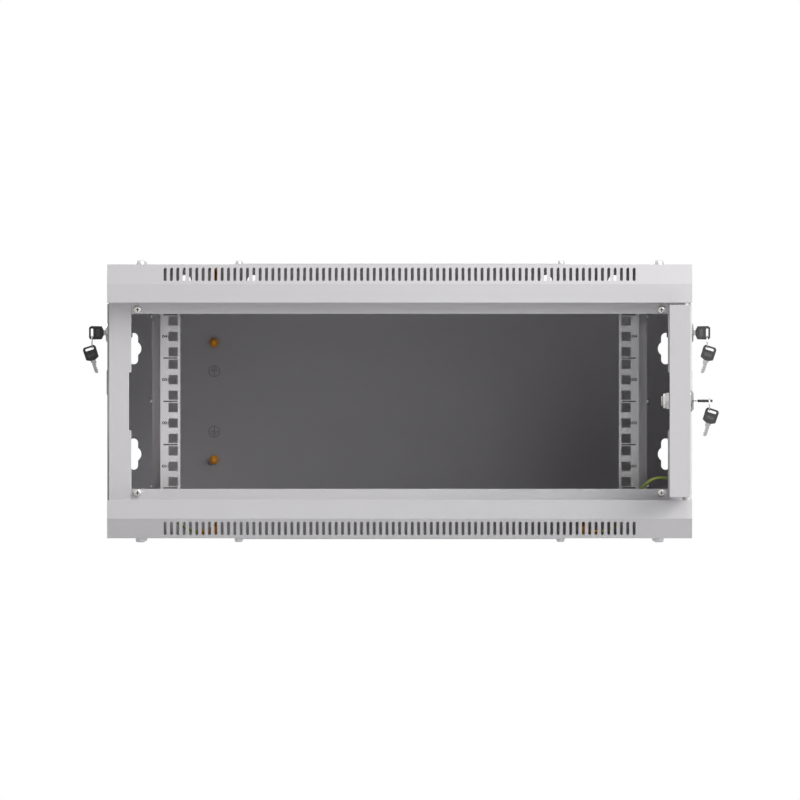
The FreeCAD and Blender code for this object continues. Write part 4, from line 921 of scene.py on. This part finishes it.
@dataclass
class Earthing:
    """Threaded studs, hexagon nuts, earth signs and the striped leads, in mm."""

    stud_x: float = 190.0
    deck_y: float = -395.0
    deck_z: float = 139.3
    deck_stud: float = 18.0
    rear: tuple[float, float] = (192.2, 60.6)
    rear_front: float = -1.2
    post: tuple[float, float, float] = (282.2, -426.3, -55.6)
    post_stud: float = 23.0
    post_stand: float = 12.0
    fit: float = 0.1
    lug_up: float = -134.7
    lug_back: float = -409.7
    lug_thick: float = 1.0
    thread: tuple[float, float, float] = (2.55, 3.0, 0.8)
    thread_ends: tuple[float, float] = (2.6, 2.4)
    nut_circle: float = 5.2
    nut_high: float = 4.5
    nut_bore: float = 3.05
    nut_edge: float = 0.5
    wire: float = 1.6
    wire_steps: int = 20
    route_right: Route = (
        (197.3, -395, -134.2), (212.3, -395, -134.2), (222.3, -397.5, -127), (238.8, -400, -103),
        (251.8, -404, -85), (262, -409.2, -78.5), (282.2, -409.2, -78.5), (282.2, -409.2, -62.9))
    route_left: Route = (
        (-197.3, -395, -134.2), (-212.3, -395, -134.2), (-224.3, -396.5, -127), (-240.3, -399, -112),
        (-254.3, -403, -99), (-264, -409.2, -91.9), (-282.2, -409.2, -91.9), (-282.2, -409.2, -62.9))
    sign: tuple[float, float, float] = (192.2, 31.4, 6.1)
    sign_rim: float = 0.8
    sign_steps: int = 40
    sign_bars: tuple[tuple[float, float, float, float], ...] = (
        (0.9, 5.0, 0.0, 2.4), (8.6, 0.9, 0.0, -0.3), (5.6, 0.9, 0.0, -2.1), (2.6, 0.9, 0.0, -3.8))
    ink: float = 0.05

    def stud(self, length: float) -> Shape:
        """Builds a threaded stud along +Z from z = 0.

        Args:
            length: How long it is, in mm.

        Returns:
            The stud.
        """
        shape = Shape()
        root, crest, pitch = self.thread
        foot, tip = self.thread_ends
        profile = [(0.0, 0.0), (foot, 0.0)]
        height = pitch
        while height < length - 1:
            profile += [(root, height), (crest, height + pitch / 2)]
            height += pitch
        profile += [(tip, length), (0.0, length)]
        shape.lathe(profile, IN_MM, 24)
        return shape

    def nut(self) -> Shape:
        """Builds a chamfered hexagon nut along +Z from z = 0.

        Returns:
            The nut.
        """
        solid, tool = Shape(), Shape()
        solid.prism(regular(6, self.nut_circle), 0, self.nut_high, IN_MM, bevel=self.nut_edge)
        tool.lathe([(0, -1), (self.nut_bore, -1), (self.nut_bore, self.nut_high + 1.5),
                    (0, self.nut_high + 1.5)], IN_MM, 24)
        return carved(solid, tool)

    def build(self) -> None:
        """Builds the studs, the nuts, the leads and the signs."""
        self.studs()
        self.nuts()
        self.leads()
        self.signs()

    def studs(self) -> None:
        """Builds the studs on the decks, the rear panel and the posts."""
        rear, up = self.rear
        places = [Facing.DOWN.at(-self.stud_x, self.deck_y, self.deck_z),
                  Facing.UP.at(self.stud_x, self.deck_y, -self.deck_z),
                  Facing.UP.at(-self.stud_x, self.deck_y, -self.deck_z)]
        places += [Facing.FRONT.at(-rear, self.rear_front, z) for z in (up, -up)]
        shape = copied(self.stud(self.deck_stud), places)
        shape.join(copied(self.stud(self.post_stud), [Facing.BACK.at(side * self.post[0], *self.post[1:])
                                                      for side in (1, -1)]))
        shape.piece("threaded_studs", "cabinet", [Finish.BRASS], ["earth_studs"])

    def nuts(self) -> None:
        """Builds the nuts on all studs, under and over each lug."""
        rear, up = self.rear
        over = self.lug_thick + self.fit
        places = [Facing.FRONT.at(-rear, self.rear_front - self.fit, z) for z in (up, -up)]
        places.append(Facing.DOWN.at(-self.stud_x, self.deck_y, self.deck_z - self.fit))
        for side in (1, -1):
            places += [Facing.UP.at(side * self.stud_x, self.deck_y, z)
                       for z in (-self.deck_z, self.lug_up + over)]
            places += [Facing.BACK.at(side * self.post[0], y, self.post[2])
                       for y in (self.post[1] + self.post_stand, self.lug_back + over)]
        copied(self.nut(), places).piece("stud_nuts", "cabinet", [Finish.BRASS], ["earth_nuts"])

    def leads(self) -> None:
        """Runs both striped leads along their CAD routes."""
        for word, route in (("right", self.route_right), ("left", self.route_left)):
            shape = Shape()
            shape.tube(self.bent([Vector(point) * MM for point in route]), self.wire * MM, self.wire_steps)
            name = "earth_lead_" + word
            shape.piece("striped_" + name, "cabinet", [Finish.WIRE], [name])

    def bent(self, corners: Sequence[Vector], steps: int = 8) -> list[Vector]:
        """Joins straight runs by tangent arcs.

        Args:
            corners: Ends and corners of the runs.
            steps: Steps of one arc.

        Returns:
            Points along the bent route.
        """
        points = [corners[0]]
        for before, corner, after in zip(corners, corners[1:], corners[2:]):
            into, away = (corner - before).normalized(), (after - corner).normalized()
            half = into.angle(away) / 2
            reach = 0.45 * min((corner - before).length, (after - corner).length)
            radius = reach / math.tan(half)
            centre = corner + (away - into).normalized() * (radius / math.cos(half))
            spoke = corner - into * reach - centre
            axis = into.cross(away).normalized()
            points += [centre + Matrix.Rotation(2 * half * step / steps, 3, axis) @ spoke
                       for step in range(steps + 1)]
        points.append(corners[-1])
        return points

    def signs(self) -> None:
        """Prints the protective earth signs beside the rear studs."""
        x, height, radius = self.sign
        steps = range(self.sign_steps)
        for name, z, way in (("upper", height, -1), ("lower", -height, 1)):
            place = (Facing.FRONT.at(-x, self.rear_front, z) @ Matrix.Scale(way, 4, Vector((0, 1, 0)))
                     @ IN_MM)
            lift = Vector((0, -self.ink, 0)) * MM
            rims = [place @ Vector((*point, 0.0)) + lift for reach in (radius, radius - self.sign_rim)
                    for point in regular(self.sign_steps, reach)]
            shape = Shape()
            shape.add(rims, [(step, (step + 1) % len(steps), len(steps) + (step + 1) % len(steps),
                              len(steps) + step) for step in steps])
            for width, tall, across, up in self.sign_bars:
                bar = Matrix.Translation(Vector((across, up, 0)))
                shape.prism(rounded(width, tall, 0.1, 1), 0, self.ink, place @ bar)
            shape.piece("earth_sign_" + name, "cabinet", [Finish.SIGN])


@dataclass(frozen=True)
class Key:
    """A key in its own axes in mm: Z away from the blade, the bow across Y."""

    bow: Outline = ((-2.7, 0), (2.7, 0), (6.8, 2.0), (7, 13.2), (5.4, 15.2), (-5.4, 15.2), (-7, 13.2),
                    (-6.8, 2.0))
    bow_half: float = 1.35
    bow_round: float = 0.8
    bow_edge: float = 0.4
    slot: tuple[float, float, float] = (8.8, 2.4, 0.9)
    slot_out: float = 12.05
    patch: tuple[float, float, float] = (8.0, 3.6, 1.0)
    patch_out: float = 5.9
    patch_half: float = 1.45
    patch_edge: float = 0.12
    blade: Outline = ((2.7, 0.6), (-2.7, 0.6), (-2.7, -1.6), (-2.1, -2.4), (-2.1, -12.2), (-0.6, -13.9),
                      (0.3, -13.9), (1.7, -12.6), (1.1, -11.4), (2.0, -10.3), (0.9, -9.1), (1.7, -7.9),
                      (0.8, -6.7), (2.1, -5.5), (1.2, -4.5), (2.1, -3.7), (2.7, -3.4), (2.7, -1.0))
    blade_half: float = 0.6
    groove: tuple[float, float, float] = (0.9, 10.0, 0.4)
    groove_at: tuple[float, float] = (-0.7, -7.3)
    groove_floor: float = 0.3

    def build(self, node: str, body: str, place: Matrix) -> None:
        """Builds the moulded grip with its ring slot, and the cut and grooved blade.

        Args:
            node: The CAD node that it stands for.
            body: The CAD body that it rides on.
            place: Where the key's own axes are.
        """
        flat = place @ OUTWARD
        whole = self.grip(flat)
        whole.join(self.metal(flat))
        whole.piece(node + "_moulded", body, [Finish.GRIP, Finish.LABEL, Finish.STEEL], [node], sharp=50.0)

    def grip(self, flat: Matrix) -> Shape:
        """Builds the grip with its slot, and the patch on both faces.

        Args:
            flat: The plane of the grip's outline.

        Returns:
            The grip; its patch takes the second finish.
        """
        solid, hole = Shape(), Shape()
        solid.prism(softened(self.bow, self.bow_round), -self.bow_half, self.bow_half, flat,
                    bevel=self.bow_edge)
        hole.prism(rounded(*self.slot), -2 * self.bow_half, 2 * self.bow_half,
                   flat @ Matrix.Translation(Vector((0, self.slot_out, 0))))
        made = carved(solid, hole)
        made.prism(rounded(*self.patch), -self.patch_half, self.patch_half,
                   flat @ Matrix.Translation(Vector((0, self.patch_out, 0))), slot=1, bevel=self.patch_edge)
        return made

    def metal(self, flat: Matrix) -> Shape:
        """Builds the blade with a groove along both faces.

        Args:
            flat: The plane of the blade's outline.

        Returns:
            The blade in the third finish.
        """
        solid, tool = Shape(), Shape()
        solid.prism(self.blade, -self.blade_half, self.blade_half, flat)
        groove_at = flat @ Matrix.Translation(Vector((*self.groove_at, 0)))
        for low, high in ((self.groove_floor, 1.0), (-1.0, -self.groove_floor)):
            tool.prism(rounded(*self.groove, steps=2), low, high, groove_at)
        made = carved(solid, tool)
        for face in made.mesh.faces:
            face.material_index = 2
        return made


@dataclass(frozen=True)
class LockSet:
    """A cam lock with its key, the ring and the spare key, drawn on the right-hand side in mm.

    Heights are out of the panel's face; those of the cam's screw are from the barrel's end.
    """

    stem: str
    bodies: tuple[str, str, str]
    carry: Matrix
    at: tuple[float, float, float]
    panel: float
    barrel: float
    key_out: float
    upright: bool
    bore: float = 4.05
    mouth: float = 2.8
    thread: tuple[float, float, float] = (5.6, 6.0, 0.8)
    thread_start: float = 0.5
    thread_end: float = -1.2
    collar: float = -0.6
    rosette: Outline = ((11.45, 0.0), (11.45, 0.5), (11.1, 0.9), (8.7, 2.8), (8.2, 3.08), (7.6, 3.1),
                        (4.4, 3.1))
    nut_circle: float = 9.4
    nut_high: float = 3.4
    nut_edge: float = 0.5
    nut_bore: float = 6.1
    plug_face: Outline = ((0, 2.9), (3.6, 2.9), (4.0, 2.5))
    cam_screw: Outline = ((4.0, 0), (3.0, 0), (3.0, -2.8), (4.6, -2.8), (4.8, -3.2), (4.8, -4.3),
                          (4.3, -4.8), (0, -4.8))
    keyway: tuple[float, float, float] = (1.7, 5.2, 0.3)
    keyway_ends: tuple[float, float] = (-16, 4)
    cross: tuple[float, float, float] = (6.0, 1.0, 0.2)
    cross_floors: tuple[float, float] = (-3.9, -3.8)
    key: Key = Key()
    ring_aside: float = 5.8
    ring_drop: float = 3.55
    ring_radius: float = 6.2
    ring_wire: float = 0.35
    ring_turns: float = 1.96
    ring_steps: int = 96
    ring_rise: float = 0.3
    ring_steepness: float = 8.0
    spare_lean: float = 18.0
    spare_shift: tuple[float, float] = (2.6035, -1.3717)

    def seat(self, out: float = 0.0) -> Matrix:
        """Places the lock's own axes, Z out of the panel.

        Args:
            out: Distance from the panel's face, in mm.

        Returns:
            The axes, in millimetres.
        """
        return (self.carry @ Matrix.Translation((Vector(self.at) + Vector((out, 0, 0))) * MM)
                @ OUTWARD @ IN_MM)

    def build(self) -> None:
        """Builds the whole set."""
        self.case()
        self.nut()
        self.plug()
        turned = Matrix.Identity(4) if self.upright else Matrix.Rotation(-math.pi / 2, 4, "Z")
        self.key.build(self.stem + "_key", self.bodies[1], self.seat(self.key_out) @ turned)
        self.hanging()

    def case(self) -> None:
        """Builds the rosette with its threaded barrel."""
        root, crest, pitch = self.thread
        profile = [(self.bore, self.mouth), (self.bore, -self.barrel), (root, -self.barrel)]
        height = self.thread_start - self.barrel
        while height < self.thread_end:
            profile += [(root, height), (crest, height + pitch / 2)]
            height += pitch
        profile += [(crest, self.collar), (crest, 0.0), *self.rosette, (self.bore, self.mouth)]
        shape = Shape()
        shape.lathe(profile, self.seat(), 48)
        shape.piece(self.stem + "_rosette", self.bodies[0], [Finish.CHROME], [self.stem + "_case"])

    def nut(self) -> None:
        """Builds the hexagon nut behind the panel."""
        solid, tool = Shape(), Shape()
        solid.prism(regular(6, self.nut_circle), -self.panel - self.nut_high, -self.panel, self.seat(),
                    bevel=self.nut_edge)
        below = -self.panel - self.nut_high - 1.6
        tool.lathe([(0, below), (self.nut_bore, below), (self.nut_bore, 0), (0, 0)], self.seat(), 32)
        carved(solid, tool).piece(self.stem + "_hex_nut", self.bodies[0], [Finish.NICKEL],
                                  [self.stem + "_nut"])

    def plug(self) -> None:
        """Builds the plug with its keyway and the screw that holds the cam."""
        end = -self.barrel
        solid = Shape()
        solid.lathe([*self.plug_face, *((radius, end + height) for radius, height in self.cam_screw)],
                    self.seat(), 32)
        thick, wide, corner = self.keyway
        keyway = (thick, wide) if self.upright else (wide, thick)
        long, narrow, sharp = self.cross
        first, second = self.cross_floors
        cuts = ((*keyway, corner, *self.keyway_ends), (long, narrow, sharp, end - long, end + first),
                (narrow, long, sharp, end - long, end + second))
        for across, along, corner, low, high in cuts:
            tool = Shape()
            tool.prism(rounded(across, along, corner, 2), low, high, self.seat())
            solid = carved(solid, tool)
        solid.piece(self.stem + "_slotted_plug", self.bodies[1], [Finish.CHROME], [self.stem + "_plug"])

    def hanging(self) -> None:
        """Builds the split ring in the key's slot and the spare key that hangs on it."""
        y, z = (0.0, -self.ring_aside) if self.upright else (-self.ring_aside, 0.0)
        centre = Vector(self.at) + Vector((self.key_out + self.key.slot_out, y, z - self.ring_drop))
        path: list[Vector] = []
        for step in range(self.ring_steps):
            turn = self.ring_turns * step / (self.ring_steps - 1)
            rise = self.ring_rise * math.tanh(self.ring_steepness * (turn - self.ring_turns / 2))
            spot = Vector((rise, self.ring_radius * math.cos(FULL_TURN * turn),
                           self.ring_radius * math.sin(FULL_TURN * turn)))
            path.append(self.carry @ ((centre + spot) * MM))
        shape = Shape()
        shape.tube(path, self.ring_wire * MM, 10)
        shape.piece(self.stem + "_split_ring", self.bodies[2], [Finish.NICKEL], [self.stem + "_ring"])
        lean = math.radians(self.spare_lean)
        out, up = self.spare_shift
        spare = centre + Vector((out - self.key.slot_out * math.sin(lean), 0,
                                 up - self.key.slot_out * math.cos(lean) - self.ring_radius))
        place = (self.carry @ Matrix.Translation(spare * MM) @ Matrix.Rotation(lean, 4, "Y")
                 @ Matrix.Rotation(math.pi / 2, 4, "Z") @ IN_MM)
        self.key.build(self.stem + "_spare_key", self.bodies[2], place)


@dataclass
class Locks:
    """The door's lock and the two side locks, in mm."""

    door_at: tuple[float, float, float] = (298.4, -994.8, 0.5)
    door_panel: float = 21.2
    door_barrel: float = 25.0
    door_key_out: float = 7.0
    side_at: tuple[float, float, float] = (300.0, -215.75, 70.7)
    side_panel: float = 1.0
    side_barrel: float = 19.7
    side_key_out: float = 5.2

    def build(self) -> None:
        """Builds the three sets."""
        LockSet("door_lock", ("door", "door_lock_barrel", "door_ring_set"), HUNG, self.door_at,
                self.door_panel, self.door_barrel, self.door_key_out, upright=False).build()
        for word, carry in (("right", Matrix.Identity(4)), ("left", MIRRORED)):
            stem = "side_lock_" + word
            LockSet(stem, ("side_panel_" + word, stem + "_barrel", "side_ring_set_" + word), carry,
                    self.side_at, self.side_panel, self.side_barrel, self.side_key_out,
                    upright=True).build()


@dataclass
class Hinge:
    """The door's two pins and the bush that it stands on, along the door's axis, in mm."""

    pin: float = 2.5
    pin_edge: float = 0.4
    pin_ends: float = 103.4
    sprung_foot: float = 76.4
    fixed_top: float = -82.6
    handle: float = 1.5
    handle_long: float = 19.0
    handle_up: float = 78.9
    bush: tuple[float, float] = (-101.2, -96.7)
    bush_bore: float = 2.55
    bush_radius: float = 4.0
    small_edge: float = 0.3

    def shank(self, low: float, high: float) -> Outline:
        """Draws the profile of a pin with chamfered ends.

        Args:
            low: Height of its lower end.
            high: Height of its upper end.

        Returns:
            (radius, height) pairs.
        """
        inner = self.pin - self.pin_edge
        return [(0, high), (inner, high), (self.pin, high - self.pin_edge), (self.pin, low + self.pin_edge),
                (inner, low), (0, low)]

    def build(self) -> None:
        """Builds the sprung pin with its handle, the fixed pin and the bush."""
        place = HUNG @ Matrix.Translation(DOOR_AXIS) @ IN_MM
        sprung = Shape()
        sprung.lathe(self.shank(self.sprung_foot, self.pin_ends), place, 28)
        sprung.lathe([(0, 0), (self.handle, 0), (self.handle, self.handle_long - self.small_edge),
                      (self.handle - self.small_edge, self.handle_long), (0, self.handle_long)],
                     place @ Matrix.Translation(Vector((0, 0, self.handle_up))) @ Facing.FRONT.value, 20)
        sprung.piece("sprung_pin", "upper_pin", [Finish.ZINC], ["hinge_pin_upper"])
        fixed = Shape()
        fixed.lathe(self.shank(-self.pin_ends, self.fixed_top), place, 28)
        fixed.piece("fixed_pin", "door", [Finish.ZINC], ["hinge_pin_lower"])
        low, high = self.bush
        neck = self.bush_radius - self.small_edge
        ring = Shape()
        ring.lathe([(self.bush_bore, high), (self.bush_bore, low), (neck, low),
                    (self.bush_radius, low + self.small_edge), (self.bush_radius, high - self.small_edge),
                    (neck, high), (self.bush_bore, high)], place, 28)
        ring.piece("turned_bush", "door", [Finish.NYLON], ["hinge_bush"])


@dataclass(frozen=True)
class Lamp:
    """A square soft lamp: its place and side in metres, its power in watts."""

    name: str
    place: tuple[float, float, float]
    side: float
    power: float

    def hang(self, target: Vector) -> None:
        """Hangs the lamp so that it looks at a target and isn't seen itself.

        Args:
            target: What it looks at, in metres.
        """
        data = bpy.data.lights.new(self.name, "AREA")
        data.size = self.side
        data.energy = self.power
        made = bpy.data.objects.new(self.name, data)
        made.location = self.place
        made.visible_camera = False
        made.rotation_euler = (target - Vector(self.place)).to_track_quat("-Z", "Y").to_euler()
        bpy.context.scene.collection.objects.link(made)


@dataclass
class Studio:
    """Pale floor, soft lamps and the camera at the photograph's angle, in metres."""

    pixels: int = 800
    pixel: float = 1.0253 * MM
    shift: tuple[float, float] = (0.4, 1.35)
    lens: float = 1700.0
    sensor: float = 36.0
    front: float = -0.45
    near: float = 1.0
    beyond: float = 20.0
    target: tuple[float, float, float] = (0.0, -0.3, 0.0)
    lamps: tuple[Lamp, ...] = (
        Lamp("key", (2.7, -2.2, 1.5), 1.7, 100),
        Lamp("steep", (1.0, -1.6, 2.5), 1.4, 36),
        Lamp("front", (1.2, -4.6, 0.9), 1.2, 15),
        Lamp("behind", (-2.4, 2.4, 0.9), 1.4, 38),
    )
    fill: float = 0.11
    floor_drop: float = 0.35
    floor_reach: float = 6.0
    floor_shades: tuple[float, float] = (0.46, 0.5)
    floor_glow: float = 0.3

    def build(self) -> None:
        """Builds the camera, the lamps, the world and the floor."""
        scene = bpy.context.scene
        scene.view_settings.view_transform = "Standard"
        self.camera(scene)
        self.world(scene)
        self.floor()
        for lamp in self.lamps:
            lamp.hang(Vector(self.target))

    def camera(self, scene: bpy.types.Scene) -> None:
        """Adds the camera, straight in front of the cabinet and far away.

        Args:
            scene: The scene.
        """
        distance = self.pixels * self.pixel * self.lens / self.sensor
        data = bpy.data.cameras.new("camera")
        data.lens = self.lens
        data.sensor_width = self.sensor
        data.clip_start = self.near
        data.clip_end = distance + self.beyond
        across, up = (pixels * self.pixel for pixels in self.shift)
        made = bpy.data.objects.new("camera", data)
        made.location = (across, self.front - distance, up)
        made.rotation_euler = (math.pi / 2, 0, 0)
        scene.collection.objects.link(made)
        scene.camera = made

    def world(self, scene: bpy.types.Scene) -> None:
        """Lights the scene evenly, and shows white to the camera, to gloss and through glass.

        Args:
            scene: The scene.
        """
        world = bpy.data.worlds.new("studio")
        scene.world = world
        world.use_nodes = True
        graph = Graph(world.node_tree)
        rays = graph.node("ShaderNodeLightPath")
        shown = graph.wire(rays, "Is Camera Ray")
        for ray in ("Is Glossy Ray", "Is Transmission Ray"):
            either = graph.node("ShaderNodeMath", {"operation": "MAXIMUM"},
                                {0: shown, 1: graph.wire(rays, ray)})
            shown = graph.wire(either)
        light = graph.node("ShaderNodeBackground", None,
                           {"Color": (1, 1, 1, 1), "Strength": self.fill + shown * (1 - self.fill)})
        graph.node("ShaderNodeOutputWorld", None, {"Surface": graph.wire(light)})

    def floor(self) -> None:
        """Lays a pale floor, evened out by a faint glow, well under the hanging cabinet."""
        corners = ((-1, -1), (1, -1), (1, 1), (-1, 1))
        shape = Shape()
        shape.add([Vector((x * self.floor_reach, y * self.floor_reach, CAD_BOX[0].z - self.floor_drop))
                   for x, y in corners], [(0, 1, 2, 3)])
        made = bpy.data.objects.new("floor", shape.handed_over("floor"))
        bpy.context.scene.collection.objects.link(made)
        surface = Surface("floor_paint")
        dark, light = ((shade, shade, shade) for shade in self.floor_shades)
        surface.fill({"Base Color": surface.blend(surface.noise(3, 2), dark, light), "Roughness": 0.8,
                      "Emission Color": (1.0, 1.0, 1.0, 1.0), "Emission Strength": self.floor_glow})
        made.data.materials.append(surface.material)


def main() -> None:
    """Dresses the cabinet, sub-assembly by sub-assembly, and sets up the studio."""
    logging.basicConfig(level=logging.INFO, format="%(message)s")
    SheetMetal().dress()
    Screws().build()
    RailMarks().build()
    Earthing().build()
    Locks().build()
    Hinge().build()
    Studio().build()


if __name__ == "__main__":
    main()
